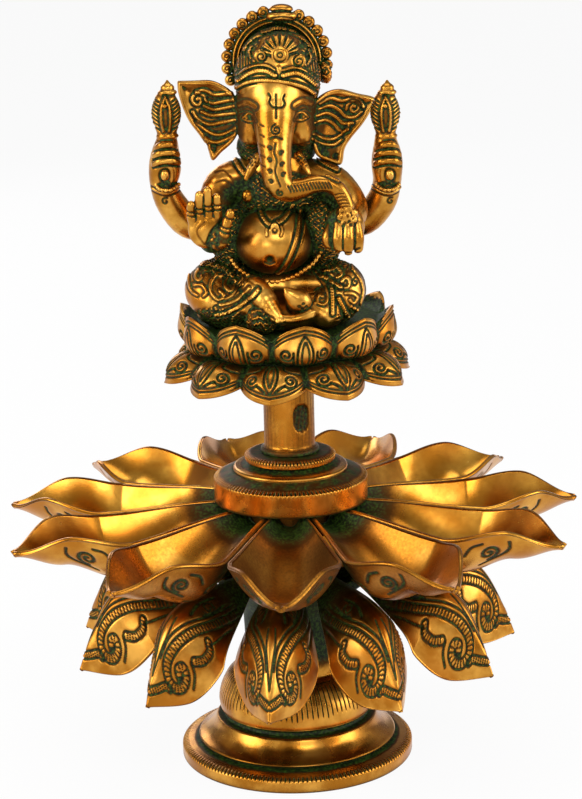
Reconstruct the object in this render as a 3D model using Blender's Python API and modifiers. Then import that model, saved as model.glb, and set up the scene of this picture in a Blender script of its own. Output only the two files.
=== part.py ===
"""Cast brass lotus oil lamp: pedestal, hooded lower petals, a ring of bowl petals
that hold the oil, stepped clamp rings, a post, a double lotus seat and a seated
elephant-headed figure with four arms. One object for each piece, in metres, +Z up,
with the front of the lamp facing -Y and the middle of the foot at the origin."""

import math

import bmesh
import bpy
from mathutils import Matrix, Vector

MM = 0.001

# General fits
FIT = 0.3 * MM             # clearance between two pieces that touch
ROD_RADIUS = 3.0 * MM      # tie rod through the whole stack
BORE_RADIUS = ROD_RADIUS + FIT
TURN_STEPS = 32            # facets round a large turned piece
SMALL_STEPS = 24           # facets round a rod, a bore or a spigot
WELD = 0.01 * MM           # points closer than this are one point

# Pedestal, turned and hollow, open underneath
FOOT_RADIUS = 50.0 * MM
FOOT_HEIGHT = 6.5 * MM
FOOT_GROOVE_RADIUS = 44.0 * MM
BELL_RADIUS = 42.5 * MM
BELL_TOP_RADIUS = 34.0 * MM
BELL_HEIGHT = 9.1 * MM
DRUM_RADIUS = 33.5 * MM
DRUM_TOP_RADIUS = 26.0 * MM
DRUM_HEIGHT = 18.5 * MM
NECK_RADIUS = 22.0 * MM
NECK_LENGTH = 40.3 * MM
HEAD_RADIUS = 33.0 * MM
HEAD_HEIGHT = 4.5 * MM
PEDESTAL_WALL = 3.2 * MM
HEAD_WEB = 7.5 * MM        # thickness of the web that the tie rod pulls on
GROOVE = 2.3 * MM          # height of each turned groove

# Petals in both rings
PETALS = 11
HALF_PITCH = math.pi / PETALS
PETAL_WALL = 2.0 * MM
PETAL_STEPS_ALONG = 8
PETAL_STEPS_ACROSS = 6
ROOT_RADIUS = 25.0 * MM    # where the petal roots begin, beside the hub's bosses

# Lower petals, hooded and hanging
LOWER_PHASE = math.radians(-96.7)
LOWER_ROOT_ARCH = 4.4 * MM
LOWER_KNEE_RADIUS = 64.0 * MM
LOWER_SHOULDER_RADIUS = 80.0 * MM
LOWER_SHOULDER_DROP = 7.5 * MM
LOWER_TIP_RADIUS = 95.0 * MM
LOWER_TIP_DROP = 37.5 * MM
LOWER_HALF_WIDTH = 17.2 * MM
LOWER_ARCH = 22.0 * MM     # height of the hood from its side edges to its crest
LOWER_SETBACK = 11.0 * MM  # how far the side edges lie behind the crest

# Hub between the two rings
HUB_RADIUS = 33.0 * MM
HUB_THICKNESS = 16.1 * MM
BOSS_RADIUS = ROOT_RADIUS - 2 * FIT

# Upper petals, open bowls
UPPER_PHASE = math.radians(-92.3)
UPPER_ROOT_DEPTH = 5.2 * MM
UPPER_BOWL_DEPTH = 20.5 * MM
UPPER_BOWL_RADIUS = 79.0 * MM
UPPER_SPLIT_RADIUS = 79.0 * MM
UPPER_SHOULDER_RADIUS = 102.0 * MM
UPPER_TIP_RADIUS = 122.8 * MM
UPPER_RIDGE_DIP = 2.6 * MM
UPPER_SHOULDER_RISE = 1.4 * MM
UPPER_TIP_DROP = 5.8 * MM
UPPER_SPOUT_HALF = 0.6 * MM

# Clamp rings above the bowls
COLLAR_RADIUS = 32.6 * MM
COLLAR_HEIGHT = 9.3 * MM
COLLAR_BOSS_RADIUS = 22.5 * MM
COLLAR_BOSS_HEIGHT = 2.8 * MM
MIDDLE_RADIUS = 24.5 * MM
MIDDLE_HEIGHT = 3.0 * MM
MIDDLE_BOSS_RADIUS = 17.6 * MM
MIDDLE_BOSS_HEIGHT = 1.3 * MM
TOP_RADIUS = 19.3 * MM
TOP_HEIGHT = 3.5 * MM
EDGE = 0.5 * MM            # small chamfer on turned edges

# Post
POST_RADIUS = 10.7 * MM
POST_FLANGE_RADIUS = 12.4 * MM
POST_FLANGE_HEIGHT = 2.0 * MM
POST_LENGTH = 32.4 * MM
RECESS_WIDTH = 8.0 * MM
RECESS_HEIGHT = 12.0 * MM
RECESS_DEPTH = 1.2 * MM
RECESS_DROP = 16.5 * MM    # from the top of the post to the middle of the recess
RECESS_AZIMUTH = math.radians(-60)

# Lotus seat
SEAT_PETALS = 10
SEAT_FACETS = 4            # facets across one seat petal, even so that clefts fall on edges
SEAT_LOWER_PHASE = math.radians(-98.5)
SEAT_UPPER_PHASE = math.radians(-80.8)
SEAT_BASE_RADIUS = 16.0 * MM
SEAT_WAIST_RADIUS = 35.5 * MM
SEAT_WAIST_HEIGHT = 12.5 * MM
SEAT_LOWER_TIP_RADIUS = 52.5 * MM
SEAT_LOWER_CLEFT_RADIUS = 43.5 * MM
SEAT_LOWER_TIP_DROP = 0.5 * MM
SEAT_LOWER_CLEFT_RISE = 4.0 * MM
SEAT_UPPER_TIP_RADIUS = 45.6 * MM
SEAT_UPPER_CLEFT_RADIUS = 41.5 * MM
SEAT_PLATFORM_HEIGHT = 24.0 * MM
SEAT_PLATFORM_RADIUS = 38.0 * MM
SEAT_TIP_RISE = 6.5 * MM   # upper petal tips above the platform
SEAT_CLEFT_DROP = 1.0 * MM  # upper clefts below the platform's rim
SEAT_WALL = 1.8 * MM
SOCKET_RADIUS = 5.4 * MM
SOCKET_DEPTH = 9.0 * MM
SEAT_BORE_DEPTH = 11.5 * MM

# Tie rod and its fastening under the pedestal's head
ROD_TAIL = 12.0 * MM       # rod below the head web
WASHER_RADIUS = 9.0 * MM
WASHER_THICKNESS = 1.5 * MM
NUT_ACROSS_FLATS = 10.0 * MM
NUT_HEIGHT = 5.0 * MM

# Figure: its forms are placed in units, 130 to its height, above the platform
FIGURE_HEIGHT = 130.0 * MM
UNIT = FIGURE_HEIGHT / 130
BALL_SEGMENTS = 20
BALL_RINGS = 12
FIGURE_PLINTH_RADIUS = 31.0 * MM
FIGURE_PLINTH_HEIGHT = 5.0 * MM
SPIGOT_LENGTH = SOCKET_DEPTH - 2 * FIT
BELLY_HEIGHT = 34.5 * MM
BELLY_RADIUS = 16.6 * MM
CHEST_HEIGHT = 60.0 * MM
CHEST_HALF_WIDTH = 20.0 * MM
HEAD_HEIGHT_UP = 87.0 * MM
HEAD_HALF_WIDTH = 16.2 * MM
TRUNK_RADIUS = 7.0 * MM
TRUNK_END_RADIUS = 3.6 * MM
EAR_THICKNESS = 4.0 * MM
CROWN_RADIUS = 16.0 * MM
CROWN_HEIGHT_UP = 105.5 * MM
HALO_RADIUS = 20.0 * MM
HALO_THICKNESS = 4.0 * MM
HALO_BEADS = 20
HALO_BEAD_RADIUS = 2.4 * MM
KNEE_RADIUS = 11.6 * MM
ARM_RADIUS = 6.8 * MM
WRIST_RADIUS = 4.4 * MM
FINGER_RADIUS = 2.1 * MM
BUD_RADIUS = 6.8 * MM
BUD_HALF_HEIGHT = 9.8 * MM
FIGURE_VOXEL = 1.5 * MM
FIGURE_FACES_KEPT = 0.07

# Heights of the stack, each from the piece below it
DRUM_BOTTOM = FOOT_HEIGHT + GROOVE + BELL_HEIGHT + GROOVE
NECK_BOTTOM = DRUM_BOTTOM + DRUM_HEIGHT
HEAD_BOTTOM = NECK_BOTTOM + NECK_LENGTH
HEAD_TOP = HEAD_BOTTOM + HEAD_HEIGHT
LOWER_SEAT = HEAD_TOP + FIT
LOWER_CREST = LOWER_SEAT + LOWER_ROOT_ARCH
HUB_BOTTOM = LOWER_CREST + PETAL_WALL + FIT
HUB_TOP = HUB_BOTTOM + HUB_THICKNESS
UPPER_FLOOR = HUB_TOP + FIT + PETAL_WALL
UPPER_RIDGE = UPPER_FLOOR + UPPER_ROOT_DEPTH
COLLAR_BOTTOM = UPPER_RIDGE + FIT
COLLAR_TOP = COLLAR_BOTTOM + COLLAR_HEIGHT
MIDDLE_BOTTOM = COLLAR_TOP + COLLAR_BOSS_HEIGHT + FIT
MIDDLE_TOP = MIDDLE_BOTTOM + MIDDLE_HEIGHT
TOP_BOTTOM = MIDDLE_TOP + MIDDLE_BOSS_HEIGHT + FIT
TOP_TOP = TOP_BOTTOM + TOP_HEIGHT
POST_BOTTOM = TOP_TOP + FIT
POST_TOP = POST_BOTTOM + POST_LENGTH
SEAT_BOTTOM = POST_TOP + FIT
PLATFORM = SEAT_BOTTOM + SEAT_PLATFORM_HEIGHT
FIGURE_BOTTOM = PLATFORM + FIT
WEB_BOTTOM = HEAD_TOP - HEAD_WEB

# Colours
BRASS = (0.62, 0.36, 0.10)
BRIGHT_BRASS = (0.78, 0.50, 0.16)
DARK_BRASS = (0.30, 0.17, 0.06)


def clear_scene():
    for old in list(bpy.data.objects):
        bpy.data.objects.remove(old, do_unlink=True)


def new_collection(name):
    collection = bpy.data.collections.new(name)
    bpy.context.scene.collection.children.link(collection)
    return collection


def brass(name, colour, roughness):
    material = bpy.data.materials.new(name)
    material.use_nodes = True
    shader = material.node_tree.nodes["Principled BSDF"]
    shader.inputs["Base Color"].default_value = (*colour, 1.0)
    shader.inputs["Metallic"].default_value = 1.0
    shader.inputs["Roughness"].default_value = roughness
    return material


def add_object(name, mesh, material, parent):
    """A part made from a mesh, linked to the lamp's collection."""
    piece = bpy.data.objects.new(name, mesh)
    LAMP.objects.link(piece)
    mesh.materials.append(material)
    piece.parent = parent
    return piece


def add_cutter(name, mesh):
    cutter = bpy.data.objects.new(name, mesh)
    CUTTERS.objects.link(cutter)
    cutter.hide_render = True
    cutter.display_type = "WIRE"
    return cutter


def boolean(piece, cutter, operation):
    modifier = piece.modifiers.new(cutter.name, "BOOLEAN")
    modifier.operation = operation
    modifier.solver = "EXACT"
    modifier.object = cutter


def mesh_from(name, bm):
    mesh = bpy.data.meshes.new(name)
    bm.to_mesh(mesh)
    bm.free()
    return mesh


def turned(name, profile, material, parent, closed=True, steps=TURN_STEPS):
    """A piece turned about Z. The profile of (radius, height) runs down the outer side."""
    mesh = bpy.data.meshes.new(name)
    points = [(radius, 0.0, height) for radius, height in profile]
    edges = [(i, i + 1) for i in range(len(points) - 1)]
    if closed:
        edges.append((len(points) - 1, 0))
    mesh.from_pydata(points, edges, [])
    piece = add_object(name, mesh, material, parent)
    screw = piece.modifiers.new("Turn", "SCREW")
    screw.axis = "Z"
    screw.angle = math.tau
    screw.steps = steps
    screw.render_steps = steps
    screw.use_merge_vertices = True
    screw.merge_threshold = WELD
    screw.use_smooth_shade = True
    return piece


def smooth_line(points, count):
    """Values read at even steps along a Catmull-Rom curve through the points."""
    padded = [points[0]] + list(points) + [points[-1]]
    spans = len(points) - 1
    line = []
    for step in range(count + 1):
        place = min(step / count * spans, spans - 1e-9)
        i = int(place)
        t = place - i
        row = []
        for a, b, c, d in zip(*padded[i:i + 4]):
            value = 2 * b + (c - a) * t + (2 * a - 5 * b + 4 * c - d) * t ** 2
            value += (3 * b - a - 3 * c + d) * t ** 3
            row.append(value / 2)
        line.append(row)
    return line


def petal(name, surface, inside_up, azimuth, material, parent):
    """A petal shell: a grid bent by surface(u, v) and given the wall's thickness."""
    bm = bmesh.new()
    bmesh.ops.create_grid(bm, x_segments=PETAL_STEPS_ALONG, y_segments=PETAL_STEPS_ACROSS,
                          size=1.0)
    for vert in bm.verts:
        vert.co = Vector(surface((vert.co.x + 1) / 2, vert.co.y))
    if not inside_up:
        bmesh.ops.reverse_faces(bm, faces=bm.faces)
    mesh = mesh_from(name, bm)
    mesh.shade_smooth()
    piece = add_object(name, mesh, material, parent)
    piece.rotation_euler.z = azimuth
    wall = piece.modifiers.new("Wall", "SOLIDIFY")
    wall.thickness = PETAL_WALL
    wall.offset = -1.0
    return piece


def edge_limit(radius):
    """Half the room that one petal has at a radius, less its wall and clearance."""
    return radius * math.tan(HALF_PITCH) - (PETAL_WALL + FIT / 2) / math.cos(HALF_PITCH)


def ramp(value, start, end):
    return min(max((value - start) / (end - start), 0.0), 1.0)


def upper_surface(u, v):
    """Inside of a bowl petal: trough from the root, deep bowl, shoulders and spout."""
    rim_line = [
        (ROOT_RADIUS, UPPER_RIDGE), (COLLAR_RADIUS, UPPER_RIDGE),
        (UPPER_SPLIT_RADIUS, UPPER_RIDGE - UPPER_RIDGE_DIP),
        (UPPER_SHOULDER_RADIUS, UPPER_RIDGE + UPPER_SHOULDER_RISE),
        (UPPER_TIP_RADIUS, UPPER_RIDGE - UPPER_TIP_DROP)]
    bottom = UPPER_RIDGE - UPPER_BOWL_DEPTH
    tip_floor = UPPER_RIDGE - UPPER_TIP_DROP - 0.8 * MM
    floor_line = [
        (ROOT_RADIUS, UPPER_FLOOR), (HUB_RADIUS + 2 * MM, UPPER_FLOOR),
        (UPPER_BOWL_RADIUS, bottom),
        (UPPER_SHOULDER_RADIUS, bottom + 0.58 * (tip_floor - bottom)),
        (UPPER_TIP_RADIUS, tip_floor)]
    radius = ROOT_RADIUS + (UPPER_TIP_RADIUS - ROOT_RADIUS) * u
    rim = eased(rim_line, radius)
    floor = eased(floor_line, radius)
    outward = ramp(radius, UPPER_SPLIT_RADIUS, UPPER_TIP_RADIUS)
    split_width = edge_limit(min(radius, UPPER_SPLIT_RADIUS))
    half = split_width * (1 - outward ** 1.95) + UPPER_SPOUT_HALF * outward
    power = 2.4 - 0.9 * outward
    return radius, half * v, floor + (rim - floor) * abs(v) ** power


def eased(line, radius):
    """Height on a line of (radius, height) points, with level ends to each span."""
    for (r0, z0), (r1, z1) in zip(line, line[1:]):
        if radius <= r1 or r1 == line[-1][0]:
            t = ramp(radius, r0, r1)
            return z0 + (z1 - z0) * t * t * (3 - 2 * t)


def lower_surface(u, v):
    """Underside of a hooded petal: level root, rounded knee, steep claw and point."""
    knee_half = min(LOWER_HALF_WIDTH, edge_limit(LOWER_KNEE_RADIUS))
    shoulder = LOWER_CREST - LOWER_SHOULDER_DROP
    tip = LOWER_CREST - LOWER_TIP_DROP
    claw_radius = 0.55 * LOWER_TIP_RADIUS + 0.45 * LOWER_SHOULDER_RADIUS + MM
    claw_height = 0.45 * tip + 0.55 * shoulder + MM
    knee = LOWER_CREST - 1.0 * MM
    rows = [
        (ROOT_RADIUS, LOWER_CREST, edge_limit(ROOT_RADIUS), LOWER_ROOT_ARCH, 0.0),
        (HUB_RADIUS + 3 * MM, LOWER_CREST, edge_limit(HUB_RADIUS), LOWER_ROOT_ARCH, 0.0),
        (LOWER_KNEE_RADIUS, knee, knee_half, 0.8 * LOWER_ARCH, 0.3 * LOWER_SETBACK),
        (LOWER_SHOULDER_RADIUS, shoulder, 0.97 * LOWER_HALF_WIDTH, LOWER_ARCH, LOWER_SETBACK),
        (claw_radius, claw_height, 0.6 * LOWER_HALF_WIDTH, 0.74 * LOWER_ARCH,
         0.9 * LOWER_SETBACK),
        (LOWER_TIP_RADIUS, tip, 0.6 * MM, 0.6 * MM, 0.0)]
    radius, crest, half, arch, setback = smooth_line(rows, 40)[round(u * 40)]
    half = min(half, edge_limit(radius - setback))
    drop = abs(v) ** (2.3 - 0.6 * u)
    return radius - setback * drop, half * v, crest - arch * drop


def petal_ring(label, surface, inside_up, phase, material, parent):
    for i in range(PETALS):
        azimuth = phase + i * math.tau / PETALS
        petal(f"{label}_{i + 1:02d}", surface, inside_up, azimuth, material, parent)


def pedestal_profile():
    """Down the outside from the bore, then back up the inside of the hollow."""
    bell = DRUM_BOTTOM - GROOVE - BELL_HEIGHT
    drum_middle = DRUM_BOTTOM + 0.3 * DRUM_HEIGHT
    neck_waist = NECK_BOTTOM + 0.3 * NECK_LENGTH
    outside = [
        (BORE_RADIUS, HEAD_TOP), (HEAD_RADIUS - EDGE, HEAD_TOP),
        (HEAD_RADIUS, HEAD_TOP - EDGE), (HEAD_RADIUS, HEAD_BOTTOM),
        (0.5 * (HEAD_RADIUS + NECK_RADIUS), HEAD_BOTTOM - 0.12 * NECK_LENGTH),
        (NECK_RADIUS, HEAD_BOTTOM - 0.3 * NECK_LENGTH),
        (0.96 * NECK_RADIUS, neck_waist), (NECK_RADIUS, NECK_BOTTOM)]
    for step in range(6):
        t = step / 5
        height = NECK_BOTTOM - t * DRUM_HEIGHT
        if height > drum_middle:
            k = (height - drum_middle) / (NECK_BOTTOM - drum_middle)
            radius = DRUM_RADIUS - (DRUM_RADIUS - DRUM_TOP_RADIUS) * k * k
        else:
            k = (drum_middle - height) / (drum_middle - DRUM_BOTTOM)
            radius = DRUM_RADIUS - 1.5 * MM * k * k
        outside.append((radius, height))
    outside.append((BELL_TOP_RADIUS - 3 * MM, DRUM_BOTTOM - 0.5 * GROOVE))
    for step in range(5):
        angle = step / 4 * math.pi / 2
        radius = BELL_RADIUS - (BELL_RADIUS - BELL_TOP_RADIUS) * math.cos(angle) ** 0.8
        outside.append((radius, bell + BELL_HEIGHT * (1 - math.sin(angle))))
    outside += [
        (FOOT_GROOVE_RADIUS - 3 * MM, bell - 0.5 * GROOVE),
        (FOOT_GROOVE_RADIUS, FOOT_HEIGHT + 0.5 * GROOVE),
        (FOOT_RADIUS - 2 * EDGE, FOOT_HEIGHT), (FOOT_RADIUS, FOOT_HEIGHT - 2 * EDGE),
        (FOOT_RADIUS, EDGE), (FOOT_RADIUS - EDGE, 0.0)]
    wall = PEDESTAL_WALL
    inside = [
        (FOOT_RADIUS - wall, 0.0), (FOOT_GROOVE_RADIUS - wall, FOOT_HEIGHT - wall),
        (FOOT_GROOVE_RADIUS - 2.2 * wall, bell - 0.5 * wall),
        (BELL_TOP_RADIUS - 2.2 * wall, DRUM_BOTTOM - GROOVE),
        (BELL_TOP_RADIUS - 2.0 * wall, drum_middle),
        (DRUM_TOP_RADIUS - 1.6 * wall, NECK_BOTTOM - 1.5 * wall),
        (0.96 * NECK_RADIUS - wall, NECK_BOTTOM), (0.96 * NECK_RADIUS - wall, WEB_BOTTOM),
        (BORE_RADIUS, WEB_BOTTOM)]
    return outside + inside


def ring_profile(radius, bottom, top, boss_radius=None, boss_top=None):
    """A turned ring with chamfered edges and, where given, a raised boss on top."""
    profile = [(BORE_RADIUS, top)]
    if boss_radius:
        profile = [(BORE_RADIUS, boss_top), (boss_radius, boss_top), (boss_radius, top)]
    profile += [
        (radius - EDGE, top), (radius, top - EDGE), (radius, bottom + EDGE),
        (radius - EDGE, bottom), (BORE_RADIUS, bottom)]
    return profile


def round_bulge(radius, bottom, top, steps):
    """Half-round rim of a ring, from its top edge down to its bottom edge."""
    half = (top - bottom) / 2
    points = []
    for step in range(steps + 1):
        angle = math.pi / 2 - step / steps * math.pi
        points.append((radius - half + half * math.cos(angle),
                       bottom + half + half * math.sin(angle)))
    return points


def hub_profile():
    upper_boss = UPPER_RIDGE
    lower_boss = HEAD_TOP + FIT
    return [
        (BORE_RADIUS, upper_boss), (BOSS_RADIUS, upper_boss), (BOSS_RADIUS, HUB_TOP),
        (HUB_RADIUS - EDGE, HUB_TOP), (HUB_RADIUS, HUB_TOP - EDGE),
        (HUB_RADIUS, HUB_BOTTOM + EDGE), (HUB_RADIUS - EDGE, HUB_BOTTOM),
        (BOSS_RADIUS, HUB_BOTTOM), (BOSS_RADIUS, lower_boss), (BORE_RADIUS, lower_boss)]


def middle_ring_profile():
    profile = [
        (BORE_RADIUS, TOP_BOTTOM - FIT), (MIDDLE_BOSS_RADIUS, TOP_BOTTOM - FIT),
        (MIDDLE_BOSS_RADIUS, MIDDLE_TOP)]
    profile += round_bulge(MIDDLE_RADIUS, MIDDLE_BOTTOM, MIDDLE_TOP, 4)
    profile.append((BORE_RADIUS, MIDDLE_BOTTOM))
    return profile


def make_post(material, parent):
    flange_top = POST_BOTTOM + POST_FLANGE_HEIGHT
    profile = [
        (BORE_RADIUS, POST_TOP), (POST_RADIUS, POST_TOP), (POST_RADIUS, flange_top),
        (POST_FLANGE_RADIUS, flange_top - EDGE), (POST_FLANGE_RADIUS, POST_BOTTOM),
        (BORE_RADIUS, POST_BOTTOM)]
    post = turned("post", profile, material, parent)
    reach = 4 * MM
    bm = bmesh.new()
    facing = Matrix.Rotation(math.pi / 2, 4, "Y")
    bmesh.ops.create_cone(bm, cap_ends=True, segments=SMALL_STEPS, radius1=RECESS_WIDTH / 2,
                          radius2=RECESS_WIDTH / 2, depth=reach, matrix=facing)
    straight = (RECESS_HEIGHT - RECESS_WIDTH) / 2
    for vert in bm.verts:
        vert.co.x += POST_RADIUS - RECESS_DEPTH + reach / 2
        vert.co.z += math.copysign(straight, vert.co.z)
    cutter = add_cutter("post_recess", mesh_from("post_recess", bm))
    cutter.location.z = POST_TOP - RECESS_DROP
    cutter.rotation_euler.z = RECESS_AZIMUTH
    boolean(post, cutter, "DIFFERENCE")
    return post


def seat_bump(angle, phase):
    """1 on the middle line of a seat petal, 0 in the cleft beside it."""
    pitch = math.tau / SEAT_PETALS
    turn = ((angle - phase) / pitch + 0.5) % 1.0 - 0.5
    return 1 - abs(2 * turn) ** 1.6


def seat_loops():
    """Sections of the double lotus, from its bore round the petals to its socket.
    Each is the radius and height in a cleft, the same on a middle line, and the phase."""
    tip_height = SEAT_BOTTOM - SEAT_LOWER_TIP_DROP
    cleft_height = SEAT_BOTTOM + SEAT_LOWER_CLEFT_RISE
    waist = SEAT_BOTTOM + SEAT_WAIST_HEIGHT
    upper_tip = PLATFORM + SEAT_TIP_RISE
    upper_cleft = PLATFORM - SEAT_CLEFT_DROP
    wall = SEAT_WALL
    low, high = SEAT_LOWER_PHASE, SEAT_UPPER_PHASE
    return [
        (BORE_RADIUS, SEAT_BOTTOM + SEAT_BORE_DEPTH) * 2 + (low,),
        (BORE_RADIUS, SEAT_BOTTOM) * 2 + (low,),
        (SEAT_BASE_RADIUS, SEAT_BOTTOM) * 2 + (low,),
        (SEAT_WAIST_RADIUS, cleft_height + 0.5 * wall,
         SEAT_WAIST_RADIUS, cleft_height + 2 * wall, low),
        (SEAT_LOWER_CLEFT_RADIUS, cleft_height, SEAT_LOWER_TIP_RADIUS, tip_height, low),
        (SEAT_LOWER_CLEFT_RADIUS, cleft_height + wall,
         SEAT_LOWER_TIP_RADIUS - 0.3 * wall, tip_height + wall, low),
        (0.96 * SEAT_LOWER_CLEFT_RADIUS, cleft_height + 2 * wall,
         0.92 * SEAT_LOWER_TIP_RADIUS, 0.55 * waist + 0.45 * tip_height, low),
        (SEAT_WAIST_RADIUS + wall, waist - 1.5 * wall,
         0.84 * SEAT_LOWER_TIP_RADIUS, waist - 1.2 * wall, low),
        (SEAT_WAIST_RADIUS, waist) * 2 + (high,),
        (0.95 * SEAT_UPPER_CLEFT_RADIUS, waist + 1.5 * wall,
         0.94 * SEAT_UPPER_TIP_RADIUS, waist + 1.5 * wall, high),
        (SEAT_UPPER_CLEFT_RADIUS, 0.4 * waist + 0.6 * upper_cleft,
         0.97 * SEAT_UPPER_TIP_RADIUS, 0.4 * waist + 0.6 * upper_cleft, high),
        (SEAT_UPPER_CLEFT_RADIUS, upper_cleft, SEAT_UPPER_TIP_RADIUS, upper_tip, high),
        (SEAT_UPPER_CLEFT_RADIUS - wall, upper_cleft + 0.4 * wall,
         SEAT_UPPER_TIP_RADIUS - wall, upper_tip, high),
        (SEAT_PLATFORM_RADIUS, PLATFORM) * 2 + (high,),
        (SOCKET_RADIUS, PLATFORM) * 2 + (high,),
        (SOCKET_RADIUS, PLATFORM - SOCKET_DEPTH) * 2 + (high,)]


def make_seat(material, parent):
    """The double lotus is a loft: its scalloped sections are unlike each other."""
    bm = bmesh.new()
    count = SEAT_PETALS * SEAT_FACETS
    step = math.tau / count
    rings = []
    for cleft_r, cleft_z, tip_r, tip_z, phase in seat_loops():
        ring = []
        behind = round((phase - SEAT_LOWER_PHASE) / step)
        for i in range(count):
            angle = phase + (i - behind) * step
            bump = seat_bump(angle, phase)
            radius = cleft_r + (tip_r - cleft_r) * bump
            height = cleft_z + (tip_z - cleft_z) * bump
            ring.append(bm.verts.new((radius * math.cos(angle), radius * math.sin(angle),
                                      height)))
        rings.append(ring)
    for inner, outer in zip(rings, rings[1:]):
        for i in range(count):
            j = (i + 1) % count
            bm.faces.new((inner[i], inner[j], outer[j], outer[i]))
    bm.faces.new(list(reversed(rings[0])))
    bm.faces.new(rings[-1])
    bmesh.ops.recalc_face_normals(bm, faces=bm.faces)
    mesh = mesh_from("lotus_seat", bm)
    mesh.shade_smooth()
    mesh.set_sharp_from_angle(angle=math.radians(50))
    return add_object("lotus_seat", mesh, material, parent)


def make_nut(material, parent):
    """Hexagon nut under the washer, bored for the tie rod."""
    corner = NUT_ACROSS_FLATS / 2 / math.cos(math.pi / 6)
    top = WEB_BOTTOM - FIT - WASHER_THICKNESS - FIT
    bm = bmesh.new()
    bmesh.ops.create_cone(bm, cap_ends=True, segments=6, radius1=corner, radius2=corner,
                          depth=NUT_HEIGHT)
    nut = add_object("rod_nut", mesh_from("rod_nut", bm), material, parent)
    nut.location.z = top - NUT_HEIGHT / 2
    bm = bmesh.new()
    bmesh.ops.create_cone(bm, cap_ends=True, segments=SMALL_STEPS, radius1=BORE_RADIUS,
                          radius2=BORE_RADIUS, depth=3 * NUT_HEIGHT)
    bore = add_cutter("nut_bore", mesh_from("nut_bore", bm))
    bore.location.z = nut.location.z
    boolean(nut, bore, "DIFFERENCE")


def ball(bm, centre, radii, tilt=0.0):
    """An ellipsoid, in figure units above the platform, tilted about the front axis."""
    place = Matrix.Translation(Vector(centre) * UNIT)
    turn = Matrix.Rotation(tilt, 4, "Y")
    size = Matrix.Diagonal((*[radius * UNIT for radius in radii], 1))
    bmesh.ops.create_uvsphere(bm, u_segments=BALL_SEGMENTS, v_segments=BALL_RINGS, radius=1.0,
                              matrix=place @ turn @ size)


def limb(bm, points):
    """A tapered round limb through (x, y, z, radius) points, in figure units."""
    curve = bpy.data.curves.new("limb", "CURVE")
    curve.dimensions = "3D"
    curve.bevel_depth = UNIT
    curve.bevel_resolution = 3
    curve.use_fill_caps = True
    line = smooth_line(points, 4 * (len(points) - 1))
    spline = curve.splines.new("POLY")
    spline.points.add(len(line) - 1)
    for point, (x, y, z, radius) in zip(spline.points, line):
        point.co = (x * UNIT, y * UNIT, z * UNIT, 1.0)
        point.radius = radius
    join_curve(bm, curve)
    for x, y, z, radius in (points[0], points[-1]):
        ball(bm, (x, y, z), (radius, radius, radius))


def join_curve(bm, curve, place=Matrix.Identity(4)):
    """Adds a curve's evaluated, welded mesh to the bmesh and removes the curve."""
    guide = bpy.data.objects.new("guide", curve)
    bpy.context.scene.collection.objects.link(guide)
    graph = bpy.context.evaluated_depsgraph_get()
    mesh = bpy.data.meshes.new_from_object(guide.evaluated_get(graph))
    mesh.transform(place)
    part = bmesh.new()
    part.from_mesh(mesh)
    bmesh.ops.remove_doubles(part, verts=part.verts, dist=WELD)
    part.to_mesh(mesh)
    part.free()
    bm.from_mesh(mesh)
    bpy.data.meshes.remove(mesh)
    bpy.data.objects.remove(guide, do_unlink=True)
    bpy.data.curves.remove(curve)


def flap(bm, outline, thickness, depth):
    """A flat smooth-edged outline of (x, z) points in figure units, standing at y = depth."""
    curve = bpy.data.curves.new("flap", "CURVE")
    curve.dimensions = "2D"
    curve.fill_mode = "BOTH"
    curve.extrude = thickness / 2
    curve.resolution_u = 4
    spline = curve.splines.new("NURBS")
    spline.points.add(len(outline) - 1)
    for point, (x, z) in zip(spline.points, outline):
        point.co = (x * UNIT, z * UNIT, 0.0, 1.0)
    spline.use_cyclic_u = True
    spline.order_u = 3
    upright = Matrix.Translation((0, depth * UNIT, 0)) @ Matrix.Rotation(math.pi / 2, 4, "X")
    join_curve(bm, curve, upright)


def figure_seat_and_legs(bm):
    plinth = FIGURE_PLINTH_RADIUS / UNIT
    knee = KNEE_RADIUS / UNIT
    height = FIGURE_PLINTH_HEIGHT / UNIT
    ball(bm, (-2, -3, 1), (plinth, 0.9 * plinth, height + 6))
    ball(bm, (-3, -1, 15), (26, 19, 12))
    for side, x in ((-1, -30), (1, 22.5)):
        limb(bm, [(side * 8 - 3, -4, 18, knee), (0.6 * x - 2, -10, 18, knee),
                  (x, -14, 16.5, knee)])
        limb(bm, [(x, -17, 12, 0.62 * knee), (0.6 * x, -24, 10, 0.56 * knee),
                  (0.15 * x - 3, -29, 8, 0.5 * knee)])
    limb(bm, [(-13, -29, 17, 4.6), (-9, -33, 14.5, 4.2), (-4.5, -36, 10, 3.2)])
    ball(bm, (4.4, -34, 15), (6.6, 5.5, 5.5))
    ball(bm, (-12, -29, 7), (9, 8, 6))


def figure_torso(bm):
    belly = BELLY_RADIUS / UNIT
    up = BELLY_HEIGHT / UNIT
    chest_up = CHEST_HEIGHT / UNIT
    wide = CHEST_HALF_WIDTH / UNIT
    ball(bm, (-4.6, -11.5, up), (belly, 0.95 * belly, 0.86 * belly))
    ball(bm, (-4, -1, 0.5 * (up + chest_up)), (0.85 * wide, 11, 0.62 * (chest_up - up) + 8))
    ball(bm, (-3, -2.5, chest_up), (wide, 11, 11))
    ball(bm, (-3, -3, chest_up + 9), (10, 9, 10))
    for side, x in ((-1, -20), (1, 17)):
        ball(bm, (x, -6, 0.5 * (up + chest_up) - 4), (8.5, 9, 16))


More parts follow.
